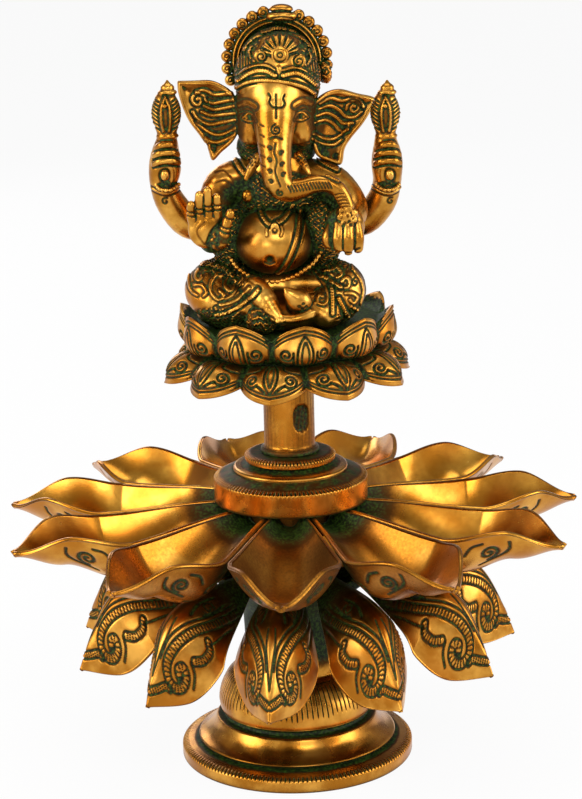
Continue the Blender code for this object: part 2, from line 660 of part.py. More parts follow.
def figure_head(bm):
    wide = HEAD_HALF_WIDTH / UNIT
    up = HEAD_HEIGHT_UP / UNIT
    thick = TRUNK_RADIUS / UNIT
    tip = TRUNK_END_RADIUS / UNIT
    ball(bm, (-2, -5, up), (wide, 14.5, wide))
    for side in (-1, 1):
        ball(bm, (-2 + side * 6.5, -10.5, up + 5), (8.5, 8, 7.5))
        ball(bm, (-1.7 + side * 10.6, -11, up - 8), (5.6, 6, 7.5))
    trunk = [
        (-2, -16, up + 4, 0.95 * thick), (-2.2, -20.5, up - 4, thick),
        (-2.4, -24.5, up - 13, thick), (-2.5, -27.5, up - 21, thick),
        (-0.5, -29, up - 28, 0.9 * thick), (6, -30.5, up - 29, 0.5 * (thick + tip)),
        (14, -30.5, up - 27.6, 0.4 * thick + 0.6 * tip), (20.5, -30, up - 29, 1.1 * tip),
        (24, -29.5, up - 34, tip), (25, -29.5, up - 40, tip)]
    limb(bm, trunk)


def figure_ears(bm):
    left = [(-12, 94), (-20, 101), (-32, 100), (-43, 101), (-42.5, 92), (-36.5, 82),
            (-31.5, 70), (-28.5, 64), (-20, 68), (-12, 74)]
    right = [(10, 92), (17, 95.5), (28, 94.5), (40.5, 92.5), (38.5, 84), (33, 76),
             (27.5, 69), (24, 63.5), (16, 67), (9, 73)]
    flap(bm, left, EAR_THICKNESS, -1)
    flap(bm, right, EAR_THICKNESS, -1)


def figure_crown_and_halo(bm):
    crown = CROWN_RADIUS / UNIT
    up = CROWN_HEIGHT_UP / UNIT
    halo = HALO_RADIUS / UNIT
    bead = HALO_BEAD_RADIUS / UNIT
    ball(bm, (-0.8, -4, up), (crown, 0.9 * crown, 0.8 * crown))
    limb(bm, [(-17.5, -6, up - 10, 2), (-12, -14.5, up - 6, 2.2), (-1, -19, up - 4, 2.4),
              (10, -14.5, up - 6, 2.2), (15.5, -6, up - 10, 2)])
    ball(bm, (0, -16.5, up + 5.5), (4.6, 3.6, 4.6))
    ball(bm, (0, -11, up + 11), (8, 4, 5.5))
    centre = Vector((-0.8, 5, up + 1.5))
    size = Matrix.Translation(centre * UNIT) @ Matrix.Rotation(math.pi / 2, 4, "X")
    bmesh.ops.create_cone(bm, cap_ends=True, segments=40, radius1=HALO_RADIUS,
                          radius2=HALO_RADIUS, depth=HALO_THICKNESS, matrix=size)
    for i in range(HALO_BEADS):
        angle = math.radians(-52 + i * 284 / (HALO_BEADS - 1))
        x = centre.x + halo * math.cos(angle)
        z = centre.z + halo * math.sin(angle)
        ball(bm, (x, centre.y, z), (bead, 1.1 * bead, bead))
    ball(bm, (centre.x + 2, 4, centre.z + halo), (5.2, 3, 2.8))


def figure_rear_arms(bm):
    arm = ARM_RADIUS / UNIT
    wrist = WRIST_RADIUS / UNIT
    bud = BUD_RADIUS / UNIT
    tall = BUD_HALF_HEIGHT / UNIT
    left = [(-19, -1, 60, arm), (-28, -2, 48, arm), (-37, -3.5, 39.5, 0.95 * arm),
            (-44.5, -5.5, 45, 0.9 * arm), (-48, -7.5, 54, 0.85 * arm),
            (-48.8, -8.5, 64, 0.77 * arm), (-46.9, -10, 73, wrist), (-46.8, -11, 79, wrist)]
    right = [(17, -1, 58, arm), (25, -2, 46, 0.95 * arm), (33, -3.5, 39.5, 0.92 * arm),
             (39, -5.5, 46, 0.87 * arm), (42, -7, 55, 0.8 * arm),
             (42.6, -8.5, 64, 0.74 * arm), (41.6, -10, 72, wrist), (41.4, -11, 77, wrist)]
    for path in (left, right):
        limb(bm, path)
        x, y, z, _ = path[-1]
        ball(bm, (x, y - 1, z + 8.5), (bud, 0.9 * bud, tall))
        ball(bm, (x + 0.8, y - 1, z + 9 + tall), (2.8, 2.8, 2.8))


def figure_front_arms(bm):
    arm = 1.05 * ARM_RADIUS / UNIT
    wrist = 1.1 * WRIST_RADIUS / UNIT
    finger = FINGER_RADIUS / UNIT
    limb(bm, [(-19, -6, 60, arm), (-27, -9, 48, arm), (-32, -12, 37, 0.9 * arm),
              (-32, -19, 33.5, 0.8 * arm), (-30.5, -25, 35, wrist)])
    ball(bm, (-31.3, -27.5, 42.5), (6.8, 3.8, 8.2))
    for base_x, tip_x, tip_z in ((-35.8, -37.2, 53.3), (-33, -33.6, 59.5),
                                 (-30, -29.6, 61.3), (-27.2, -26, 57.5)):
        limb(bm, [(base_x, -28, 46, finger), (tip_x, -29.5, tip_z, 0.95 * finger)])
    limb(bm, [(-26, -27, 38, 1.2 * finger), (-22, -29, 44.5, finger),
              (-20.3, -30, 50.5, 0.95 * finger)])
    limb(bm, [(16, -6, 60, arm), (24.5, -8, 54, arm), (30, -13, 48.5, 0.92 * arm),
              (28.5, -20, 47, 0.85 * arm), (26, -26, 46.5, wrist)])
    ball(bm, (25, -27.5, 43.5), (7.2, 4.2, 6.5))
    for base_x, tip_x, tip_z in ((19.5, 17.5, 38.5), (22, 21.4, 35.6), (25.6, 25.3, 34.5),
                                 (29, 29.4, 35)):
        limb(bm, [(base_x, -28, 43, finger), (tip_x, -30, tip_z, finger)])
    ball(bm, (23.9, -31.5, 46.5), (3.2, 3, 3))


def make_figure(material, parent):
    """The figure is cast in one: its forms are fused, then cut flat under the seat."""
    bm = bmesh.new()
    figure_seat_and_legs(bm)
    figure_torso(bm)
    figure_head(bm)
    figure_ears(bm)
    figure_crown_and_halo(bm)
    figure_rear_arms(bm)
    figure_front_arms(bm)
    bmesh.ops.translate(bm, vec=(0, 0, FIGURE_BOTTOM), verts=bm.verts)
    figure = add_object("seated_figure", mesh_from("seated_figure", bm), material, parent)
    fuse = figure.modifiers.new("Fuse", "REMESH")
    fuse.mode = "VOXEL"
    fuse.voxel_size = FIGURE_VOXEL
    fuse.use_smooth_shade = True
    smooth = figure.modifiers.new("Soften", "SMOOTH")
    smooth.factor = 0.5
    smooth.iterations = 2
    fewer = figure.modifiers.new("Fewer", "DECIMATE")
    fewer.ratio = FIGURE_FACES_KEPT
    depth = FIGURE_HEIGHT / 3
    wide = 4 * FIGURE_PLINTH_RADIUS
    bm = bmesh.new()
    size = Matrix.Diagonal((wide, wide, depth, 1))
    bmesh.ops.create_cube(bm, size=1.0, matrix=size)
    floor = add_cutter("figure_floor", mesh_from("figure_floor", bm))
    floor.location.z = FIGURE_BOTTOM - depth / 2
    boolean(figure, floor, "DIFFERENCE")
    bm = bmesh.new()
    length = SPIGOT_LENGTH + FIGURE_PLINTH_HEIGHT
    bmesh.ops.create_cone(bm, cap_ends=True, segments=SMALL_STEPS, radius1=SOCKET_RADIUS - FIT,
                          radius2=SOCKET_RADIUS - FIT, depth=length)
    spigot = add_cutter("figure_spigot", mesh_from("figure_spigot", bm))
    spigot.location.z = FIGURE_BOTTOM - SPIGOT_LENGTH + length / 2
    boolean(figure, spigot, "UNION")
    return figure


def joint_empty(name, height, parent=None):
    """An empty on the lamp's axis that carries the pieces of one moving body."""
    empty = bpy.data.objects.new(name, None)
    empty.empty_display_size = 0.02
    bpy.context.scene.collection.objects.link(empty)
    empty.location.z = height
    empty.parent = parent
    return empty


def make_lamp():
    cast = brass("antique_brass", BRASS, 0.35)
    bright = brass("polished_brass", BRIGHT_BRASS, 0.22)
    dark = brass("dark_brass", DARK_BRASS, 0.5)
    base = joint_empty("base", 0.0)
    lotus = joint_empty("lotus", 0.0, base)
    post = joint_empty("post_axis", 0.0, lotus)
    lift = joint_empty("figure_axis", 0.0, post)

    turned("pedestal", pedestal_profile(), cast, base)
    rod_bottom = WEB_BOTTOM - ROD_TAIL
    rod_top = SEAT_BOTTOM + SEAT_BORE_DEPTH - FIT
    turned("tie_rod", [(0, rod_top), (ROD_RADIUS, rod_top), (ROD_RADIUS, rod_bottom),
                       (0, rod_bottom)], dark, base, closed=False, steps=SMALL_STEPS)
    washer_top = WEB_BOTTOM - FIT
    washer_bottom = washer_top - WASHER_THICKNESS
    turned("rod_washer", [(BORE_RADIUS, washer_top), (WASHER_RADIUS, washer_top),
                          (WASHER_RADIUS, washer_bottom), (BORE_RADIUS, washer_bottom)],
           dark, base, steps=SMALL_STEPS)
    make_nut(dark, base)

    petal_ring("lower_petal", lower_surface, False, LOWER_PHASE, cast, lotus)
    turned("lotus_hub", hub_profile(), cast, lotus)
    petal_ring("upper_petal", upper_surface, True, UPPER_PHASE, bright, lotus)
    turned("collar_ring", ring_profile(COLLAR_RADIUS, COLLAR_BOTTOM, COLLAR_TOP,
                                       COLLAR_BOSS_RADIUS, COLLAR_TOP + COLLAR_BOSS_HEIGHT),
           cast, lotus)
    turned("middle_ring", middle_ring_profile(), cast, lotus)
    turned("top_ring", ring_profile(TOP_RADIUS, TOP_BOTTOM, TOP_TOP), cast, lotus)
    make_post(bright, post)
    make_seat(cast, post)
    make_figure(bright, lift)


clear_scene()
LAMP = new_collection("lotus_lamp")
CUTTERS = new_collection("cutters")
make_lamp()
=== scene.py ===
"""Looks of the cast brass lotus lamp: turned, cast and carved brass with green patina
in its recesses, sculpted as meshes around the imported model, on a pale studio floor."""

import math

import bpy
import numpy as np
from mathutils import Matrix, Vector


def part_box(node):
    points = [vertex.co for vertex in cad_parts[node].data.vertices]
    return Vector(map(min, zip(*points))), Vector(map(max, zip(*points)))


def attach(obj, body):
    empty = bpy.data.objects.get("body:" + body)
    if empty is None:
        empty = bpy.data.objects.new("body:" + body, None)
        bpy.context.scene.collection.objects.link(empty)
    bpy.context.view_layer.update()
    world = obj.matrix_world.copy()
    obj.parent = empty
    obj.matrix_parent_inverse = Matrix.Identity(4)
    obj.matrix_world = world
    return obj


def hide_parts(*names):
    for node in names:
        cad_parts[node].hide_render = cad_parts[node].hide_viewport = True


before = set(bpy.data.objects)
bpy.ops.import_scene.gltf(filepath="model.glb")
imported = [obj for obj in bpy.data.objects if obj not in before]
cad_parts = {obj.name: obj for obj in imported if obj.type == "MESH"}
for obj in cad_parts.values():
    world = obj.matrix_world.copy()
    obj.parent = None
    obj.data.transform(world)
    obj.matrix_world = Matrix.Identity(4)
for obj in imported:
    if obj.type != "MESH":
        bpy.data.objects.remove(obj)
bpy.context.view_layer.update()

MM = 0.001
TAU = math.tau
PETALS = 11
HALF_PITCH = math.pi / PETALS
LOWER_PHASE = math.radians(-96.7)
UPPER_PHASE = math.radians(-92.3)
PETAL_WALL = 1.9
PETAL_GAP = 2.2                     # half of it is left on each side of a petal's ray
BORE = 3.4


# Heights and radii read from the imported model, in millimetres

def span(node):
    """Lowest and highest corner of a node, in millimetres."""
    low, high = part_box(node)
    return np.array(low) / MM, np.array(high) / MM


HEAD_TOP = span("pedestal")[1][2]
HUB_LOW, HUB_HIGH = span("lotus_hub")
COLLAR_LOW, COLLAR_HIGH = span("collar_ring")
MIDDLE_LOW, MIDDLE_HIGH = span("middle_ring")
TOP_LOW, TOP_HIGH = span("top_ring")
POST_LOW, POST_HIGH = span("post")
SEAT_LOW, SEAT_HIGH = span("lotus_seat")
FIGURE_LOW, FIGURE_HIGH = span("seated_figure")
COLLAR_RADIUS = COLLAR_HIGH[0]
MIDDLE_RADIUS = MIDDLE_HIGH[0]
TOP_RADIUS = TOP_HIGH[0]
RIDGE = COLLAR_LOW[2] - 0.3         # top of the ridges where two bowls meet


# Camera, floor, light

def add_camera():
    """The photograph's view: just above the bowls, looking slightly down."""
    pitch, roll, yaw = 0.2511529, -0.0256704, 0.00103931
    distance, height = 0.96196, 0.40387
    data = bpy.data.cameras.new("camera")
    data.sensor_width = 36
    data.lens = 106.33
    data.sensor_fit = "VERTICAL"
    data.sensor_height = 36
    camera = bpy.data.objects.new("camera", data)
    bpy.context.scene.collection.objects.link(camera)
    camera.matrix_world = (Matrix.Translation((0, -distance, height))
                           @ Matrix.Rotation(-yaw, 4, "Z")
                           @ Matrix.Rotation(math.pi / 2 - pitch, 4, "X")
                           @ Matrix.Rotation(roll, 4, "Z"))
    bpy.context.scene.camera = camera


def add_floor():
    """A large floor that is white to the camera and in reflections, and keeps a soft shadow."""
    half, paint, glow_share = 14.0, 0.86, 0.92
    mesh = bpy.data.meshes.new("floor")
    mesh.from_pydata([(-half, -half, 0), (half, -half, 0), (half, half, 0), (-half, half, 0)],
                     [], [(0, 1, 2, 3)])
    floor = bpy.data.objects.new("floor", mesh)
    bpy.context.scene.collection.objects.link(floor)
    material, graph, out = new_material("floor")
    diffuse = graph.add("ShaderNodeBsdfDiffuse", Color=(paint, paint, paint))
    glow = graph.add("ShaderNodeEmission", Strength=1.0)
    path = graph.add("ShaderNodeLightPath").outputs
    seen = graph.math("MAXIMUM", path["Is Camera Ray"], path["Is Glossy Ray"])
    seen = graph.math("MAXIMUM", seen, path["Is Transmission Ray"])
    mix = graph.add("ShaderNodeMixShader", Fac=graph.math("MULTIPLY", seen, glow_share))
    graph.plug(diffuse.outputs[0], mix.inputs[1])
    graph.plug(glow.outputs[0], mix.inputs[2])
    graph.plug(mix.outputs[0], out.inputs["Surface"])
    floor.data.materials.append(material)


def add_light():
    """Six soft boxes and a grey room, dark above a white skyline that joins the floor."""
    middle = (0, 0, 0.16)
    for name, place, aim, width, height, radiance in (
            ("left_box", (-1.25, -0.55, 0.70), middle, 0.8, 1.0, 5.0),
            ("right_box", (1.30, -0.40, 0.60), middle, 0.7, 1.0, 4.5),
            ("front_box", (0.30, -1.5, 1.25), middle, 0.8, 0.5, 6.5),
            ("low_box", (-0.55, -1.5, 0.30), (0, 0, 0.06), 0.5, 0.35, 5.0),
            ("top_box", (0.0, 0.30, 1.6), middle, 1.0, 0.8, 2.5),
            ("back_box", (-0.6, 1.4, 0.7), middle, 0.7, 0.6, 3.0)):
        data = bpy.data.lights.new(name, "AREA")
        data.shape = "RECTANGLE"
        data.size, data.size_y = width, height
        data.energy = radiance * math.pi * width * height
        light = bpy.data.objects.new(name, data)
        bpy.context.scene.collection.objects.link(light)
        light.location = place
        light.rotation_euler = (Vector(aim) - Vector(place)).to_track_quat("-Z", "Y").to_euler()
    world = bpy.data.worlds.new("studio")
    bpy.context.scene.world = world
    world.use_nodes = True
    graph = Graph(world.node_tree)
    split = graph.add("ShaderNodeSeparateXYZ",
                      Vector=graph.add("ShaderNodeTexCoord").outputs["Generated"]).outputs
    low = graph.spread(split["Z"], 0.02, 0.36, 0.14, 0.70)
    high = graph.spread(split["Z"], 0.55, 0.95, 1.0, 0.4)
    back = graph.spread(split["Y"], 0.0, 0.9, 1.0, 0.38)
    level = graph.math("MULTIPLY", graph.math("MULTIPLY", low, high), back)
    skyline = graph.spread(split["Z"], 0.06, 0.10, 1.0, 0.0)
    graph.plug(graph.math("MAXIMUM", level, skyline), graph.nodes["Background"].inputs["Color"])


# Materials

class Graph:
    """The nodes of a material or a world, linked as they are made."""

    def __init__(self, tree):
        self.nodes, self.links = tree.nodes, tree.links

    def plug(self, value, socket):
        """Sets a socket to a number or a colour, or links an output to it."""
        if isinstance(value, (int, float)):
            socket.default_value = value
        elif isinstance(value, tuple):
            socket.default_value = (*value, 1) if len(socket.default_value) == 4 else value
        else:
            self.links.new(value, socket)

    def add(self, kind, **values):
        node = self.nodes.new(kind)
        for name, value in values.items():
            self.plug(value, node.inputs[name.replace("_", " ")])
        return node

    def math(self, operation, a, b=0.0, c=None, clamp=False):
        node = self.nodes.new("ShaderNodeMath")
        node.operation = operation
        node.use_clamp = clamp
        for k, value in enumerate((a, b) if c is None else (a, b, c)):
            self.plug(value, node.inputs[k])
        return node.outputs[0]

    def noise(self, coords, scale, detail=3.0, roughness=0.55, stretch=None):
        """Noise from 0 to 1; scale is in features a metre."""
        if stretch:
            coords = self.add("ShaderNodeMapping", Vector=coords, Scale=stretch).outputs[0]
        return self.add("ShaderNodeTexNoise", Vector=coords, Scale=scale, Detail=detail,
                        Roughness=roughness).outputs["Fac"]

    def spread(self, value, low, high, to_low=0.0, to_high=1.0):
        """A value between two limits eased to a value between two others."""
        node = self.nodes.new("ShaderNodeMapRange")
        node.interpolation_type = "SMOOTHSTEP"
        for name, number in (("Value", value), ("From Min", low), ("From Max", high),
                             ("To Min", to_low), ("To Max", to_high)):
            self.plug(number, node.inputs[name])
        return node.outputs["Result"]

    def blend(self, share, a, b):
        node = self.nodes.new("ShaderNodeMix")
        node.data_type = "RGBA"
        for name, value in (("Factor", share), (6, a), (7, b)):
            self.plug(value, node.inputs[name])
        return node.outputs[2]


def new_material(name):
    material = bpy.data.materials.new(name)
    material.use_nodes = True
    graph = Graph(material.node_tree)
    graph.nodes.clear()
    return material, graph, graph.nodes.new("ShaderNodeOutputMaterial")


def brass(name, bright, deep, shine, patina, reach, mottle=75.0, brushed=None):
    """Brass in two clouded tones. Where the mesh's patina attribute rises, or a place is
    closed in, it loses its shine and turns brown, then dark green. Besides patina, the
    attribute carries painted shade on the post's sides and on the bowls at the front."""
    copper, umber = (0.66, 0.20, 0.022), (0.10, 0.038, 0.008)
    dark_moss, pale_moss = (0.004, 0.008, 0.001), (0.036, 0.075, 0.008)
    material, graph, out = new_material(name)
    coords = graph.add("ShaderNodeTexCoord").outputs["Object"]
    cloud = graph.noise(coords, mottle, 4.0)
    speck = graph.noise(coords, 900.0, 2.0)
    fine = graph.noise(coords, 2600.0, 2.0, 0.6, brushed)
    mark = graph.add("ShaderNodeAttribute")
    mark.attribute_name = "patina"
    mark = mark.outputs["Fac"]

    closed = graph.add("ShaderNodeAmbientOcclusion", Distance=reach)
    closed.samples = 6
    shade = graph.spread(closed.outputs["AO"], 0.30, 0.85, 1.0, 0.0)
    shade = graph.math("MULTIPLY", shade, graph.math("MULTIPLY_ADD", cloud, 0.9, 0.05))
    dirt = graph.math("ADD", mark, graph.math("MULTIPLY", shade, patina))
    dirt = graph.math("ADD", dirt, graph.math("MULTIPLY", speck, 0.22))
    brown = graph.spread(dirt, 0.12, 0.52)
    green = graph.spread(dirt, 0.42, 0.90)

    dulled = graph.math("ADD", cloud, graph.math("MULTIPLY", mark, -0.45))
    metal = graph.blend(graph.spread(dulled, 0.36, 0.76), deep, bright)
    hue = graph.spread(graph.noise(coords, 30.0, 2.0), 0.50, 0.72, 0.0, 0.3)
    worn = graph.blend(brown, graph.blend(hue, metal, copper), umber)
    moss = graph.blend(graph.spread(speck, 0.40, 0.68), dark_moss, pale_moss)
    rough = graph.math("MULTIPLY_ADD", cloud, 0.16, shine - 0.08)
    rough = graph.math("ADD", rough, graph.math("MULTIPLY", brown, 0.28), clamp=True)
    grain = graph.math("ADD", fine, graph.math("MULTIPLY", speck, 1.4))
    relief = graph.add("ShaderNodeBump", Strength=0.12, Distance=0.00005, Height=grain)
    shader = graph.add("ShaderNodeBsdfPrincipled", Specular_IOR_Level=0.2,
                       Base_Color=graph.blend(green, worn, moss),
                       Metallic=graph.spread(green, 0.0, 1.0, 1.0, 0.1), Roughness=rough,
                       Normal=relief.outputs[0])
    graph.plug(shader.outputs[0], out.inputs["Surface"])
    return material


def make_materials():
    """Each look: its bright and deep tone, roughness, patina and the reach of its patina."""
    spun = (0.35, 0.35, 9.0)
    return {name: brass(name, *values, **extra) for name, values, extra in (
        ("cast_brass", ((0.76, 0.37, 0.060), (0.38, 0.14, 0.012), 0.27, 0.8, 0.006),
         {"brushed": spun}),
        ("polished_brass", ((0.80, 0.40, 0.060), (0.46, 0.17, 0.015), 0.24, 0.45, 0.008),
         {"mottle": 55.0}),
        ("carved_brass", ((0.82, 0.41, 0.070), (0.40, 0.145, 0.013), 0.31, 0.85, 0.007), {}),
        ("figure_brass", ((0.86, 0.45, 0.080), (0.38, 0.145, 0.013), 0.28, 0.8, 0.005), {}),
        ("dark_brass", ((0.42, 0.20, 0.04), (0.24, 0.10, 0.02), 0.45, 0.8, 0.006), {}))}


# Meshes

def quads_between(rows, columns, around=False, closed=False):
    """Quads of a grid of points; around joins the last column to the first, closed the
    last row to the first."""
    index = np.arange(rows * columns).reshape(rows, columns)
    if around:
        index = np.hstack([index, index[:, :1]])
    if closed:
        index = np.vstack([index, index[:1]])
    return np.stack([index[:-1, :-1], index[:-1, 1:], index[1:, 1:], index[1:, :-1]],
                    axis=-1).reshape(-1, 4)


def add_piece(name, points, quads, look, body, replaced, patina):
    """A smooth mesh in millimetres that rides on a body and stands for CAD nodes."""
    mesh = bpy.data.meshes.new(name)
    mesh.vertices.add(len(points))
    mesh.vertices.foreach_set("co", (np.asarray(points, np.float32) * MM).ravel())
    mesh.loops.add(quads.size)
    mesh.loops.foreach_set("vertex_index", quads.ravel().astype(np.int32))
    mesh.polygons.add(len(quads))
    mesh.polygons.foreach_set("loop_start", np.arange(0, quads.size, 4, dtype=np.int32))
    mesh.update(calc_edges=True)
    mesh.validate()
    mesh.shade_smooth()
    mark = mesh.attributes.new("patina", "FLOAT", "POINT")
    mark.data.foreach_set("value", np.clip(patina, 0, 1).astype(np.float32).ravel())
    mesh.materials.append(LOOKS[look])
    piece = bpy.data.objects.new(name, mesh)
    bpy.context.scene.collection.objects.link(piece)
    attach(piece, body)
    if replaced:
        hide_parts(*replaced)


def smoothstep(value, low, high):
    t = np.clip((value - low) / (high - low), 0, 1)
    return t * t * (3 - 2 * t)


def unit(vectors):
    return vectors / np.maximum(np.linalg.norm(vectors, axis=-1, keepdims=True), 1e-9)


def rounded_line(rows, steps=5):
    """A profile through rows of radius, height and how far the corner there is rounded."""
    points = []
    corners = [row[:2] for row in rows]
    for i, (*corner, radius) in enumerate(rows):
        here = np.array(corner, float)
        if radius <= 0:
            points.append(here)
            continue
        before = np.array(corners[i - 1], float) - here
        after = np.array(corners[(i + 1) % len(corners)], float) - here
        start = here + before / np.linalg.norm(before) * radius
        end = here + after / np.linalg.norm(after) * radius
        for t in np.linspace(0, 1, steps):
            points.append((1 - t) ** 2 * start + 2 * t * (1 - t) * here + t ** 2 * end)
    return np.array(points)


def densify(line, longest):
    """Adds points along a line so that no step is longer than given."""
    points = [line[0]]
    for a, b in zip(line, line[1:]):
        count = max(1, int(math.ceil(np.linalg.norm(b - a) / longest)))
        points += [a + (b - a) * k / count for k in range(1, count + 1)]
    return np.array(points)


def turned(name, rows, look, body, replaced, steps, carve=None):
    """A piece turned about the axis, from the rows of its closed profile. carve gives the
    change of radius, the change of height and the patina at each point; for the post
    that patina also holds painted shade."""
    profile = rounded_line(rows)
    line = densify(np.vstack([profile, profile[:1]]), 0.8)[:-1]
    angle = np.arange(steps) / steps * TAU
    radius = np.repeat(line[:, :1], steps, axis=1)
    height = np.repeat(line[:, 1:], steps, axis=1)
    patina = np.zeros_like(radius)
    if carve:
        out, up, patina = carve(angle[None, :], radius, height)
        radius, height = radius + out, height + up
    points = np.stack([radius * np.cos(angle), radius * np.sin(angle), height], axis=-1)
    quads = quads_between(len(line), steps, around=True, closed=True)
    add_piece(name, points.reshape(-1, 3), quads, look, body, replaced, patina)


def teeth(angle, count):
    """A row of teeth round a ring: 0 on a tooth's point, 1 in the notch between."""
    return np.abs(((angle * count / TAU) % 1.0) * 2 - 1)


# Pedestal

def pedestal_carving(angle, radius, height):
    """Milled edge of the foot, incised lines of the drum and patina in the grooves."""
    foot_top, drum_low, drum_high = 6.4, 21.5, 38.6
    out = np.zeros(np.broadcast(angle, radius).shape)
    up = np.zeros_like(out)
    outside = radius > 20
    edge = np.exp(-((height - foot_top + 0.3) / 0.9) ** 2) * smoothstep(radius, 47.2, 48.6)
    notch = smoothstep(teeth(angle, 168), 0.45, 0.8) * edge * outside
    out -= 0.5 * notch
    up -= 0.45 * notch
    ripple = 1.4 * np.sin(5 * angle) + 1.1 * np.sin(13 * angle + 1) + 0.8 * np.sin(29 * angle)
    band = smoothstep(height, drum_low + 4.0 + 0.5 * ripple, drum_low + 6.0 + 0.5 * ripple)
    band = band * (1 - smoothstep(height, drum_high - 1.5, drum_high)) * (radius > 22.5)
    slot = smoothstep(teeth(angle + 0.012 * (height - 30) / 8, 92), 0.62, 0.92) * band
    out -= 0.55 * slot
    patina = 0.85 * notch + 0.75 * slot
    uneven = 1 + 0.25 * np.sin(9 * angle + 1) * np.sin(23 * angle)
    for low, high, reach, deep in ((6.45, 9.3, 45.4, 0.9), (17.9, 20.9, 36.0, 1.0)):
        inside = smoothstep(height, low - 0.3, low + 0.5)
        inside = inside * (1 - smoothstep(height, high - 0.5, high))
        inside = inside * (1 - smoothstep(radius, reach - 2.6, reach))
        patina = patina + deep * uneven * inside * outside * (radius > 27)
    patina = patina + 0.95 * smoothstep(height, 40.5, 52.0) * outside
    return out, up, np.clip(patina, 0, 1)


def make_pedestal():
    outside = [
        (BORE, HEAD_TOP, 0), (33.0, HEAD_TOP, 0.5), (33.0, 79.2, 0.5), (27.0, 74.5, 2.0),
        (22.0, 67.0, 3.0), (21.2, 50.0, 5.0), (22.0, 39.6, 0.0), (26.0, 38.9, 0.6),
        (29.3, 36.6, 1.5), (32.4, 31.0, 2.5), (33.6, 25.5, 2.0), (33.0, 21.6, 1.0),
        (32.2, 20.5, 0.4), (30.4, 19.6, 0.8), (31.2, 18.1, 0.3), (34.4, 17.9, 0.8),
        (36.2, 14.2, 1.6), (39.6, 10.9, 2.0), (42.6, 9.5, 0.8), (42.8, 8.9, 0.3),
        (40.9, 7.7, 0.5), (44.0, 7.1, 1.0), (48.4, 6.4, 0.7), (50.0, 5.3, 0.8),
        (50.0, 0.6, 0.5), (49.4, 0.0, 0.3)]
    inside = [
        (46.8, 0.0, 0.3), (41.0, 3.3, 1.0), (36.5, 6.0, 1.0), (27.0, 18.4, 1.0),
        (26.8, 26.5, 1.0), (21.0, 34.5, 1.0), (17.9, 39.4, 0.5), (17.9, 75.9, 0.3),
        (BORE, 75.9, 0)]
    turned("pedestal_looks", outside + inside, "cast_brass", "base", ["pedestal"], 1472,
           pedestal_carving)


# Rings and post

def rim_teeth(rim, top, count, reach=1.0):
    """Carving for a ring whose top edge is cut into teeth, with a patinated top face."""
    def carve(angle, radius, height):
        near = np.exp(-((radius - rim) / 0.9) ** 2 - ((height - top) / (1.3 * reach)) ** 2)
        notch = smoothstep(teeth(angle, count), 0.35, 0.95) * near
        wobble = 0.5 + 0.5 * np.sin(7 * angle + 0.6 * radius) * np.sin(17 * angle)
        dull = smoothstep(height, top - 0.4, top - 0.05) * (1 - smoothstep(radius, rim - 3, rim))
        low = (1 - smoothstep(height, COLLAR_LOW[2] + 0.2, COLLAR_LOW[2] + 1.6)) * (radius > 20)
        patina = 0.75 * notch + dull * (0.42 + 0.35 * wobble) + 0.45 * low
        return -0.75 * notch, -0.9 * reach * notch, np.clip(patina, 0, 1)
    return carve


def make_rings():
    low, high, rim = COLLAR_LOW[2], COLLAR_HIGH[2], COLLAR_RADIUS
    shelf = MIDDLE_LOW[2] - 0.3
    turned("collar_looks",
           [(BORE, shelf, 0), (22.0, shelf, 0.6), (24.2, high + 1.3, 1.4),
            (rim - 3.0, high + 0.1 - 0.9, 1.2), (rim, high - 1.2 - 0.9, 0.5), (rim, low, 0.5),
            (BORE, low, 0)],
           "cast_brass", "lotus", ["collar_ring"], 1120,
           rim_teeth(rim - 1.2, high - 1.4, 112, 1.2))
    low, high, rim = MIDDLE_LOW[2], MIDDLE_HIGH[2], MIDDLE_RADIUS

    def dull_step(angle, radius, height):
        inner = (1 - smoothstep(radius, rim - 4.6, rim - 2.4)) * smoothstep(height, low, low + 1)
        inner = inner * (0.75 + 0.3 * np.sin(11 * angle) * np.sin(31 * angle + 1))
        under = (1 - smoothstep(height, low, low + 0.8)) * smoothstep(radius, 20, 22)
        return 0 * radius, 0 * radius, 0.85 * inner + 0.7 * under
    turned("middle_ring_looks",
           [(BORE, high, 0), (17.0, high, 0.4), (18.2, high - 1.0, 0.8), (20.6, high - 1.5, 0.5),
            (rim - 0.9, high - 1.7, 0.6), (rim, high - 2.9, 1.0), (rim - 0.6, low + 0.3, 0.5),
            (rim - 2.0, low, 0.5), (BORE, low, 0)],
           "cast_brass", "lotus", ["middle_ring"], 360, dull_step)
    low, high, rim = TOP_LOW[2], TOP_HIGH[2], TOP_RADIUS
    turned("top_ring_looks",
           [(BORE, high, 0), (rim - 2.4, high, 0.6), (rim - 0.4, high - 0.7, 0.4),
            (rim, high - 1.2, 0.4), (rim - 0.3, low, 0.5), (BORE, low, 0)],
           "cast_brass", "lotus", ["top_ring"], 1120, rim_teeth(rim - 0.6, high - 0.8, 80, 0.8))


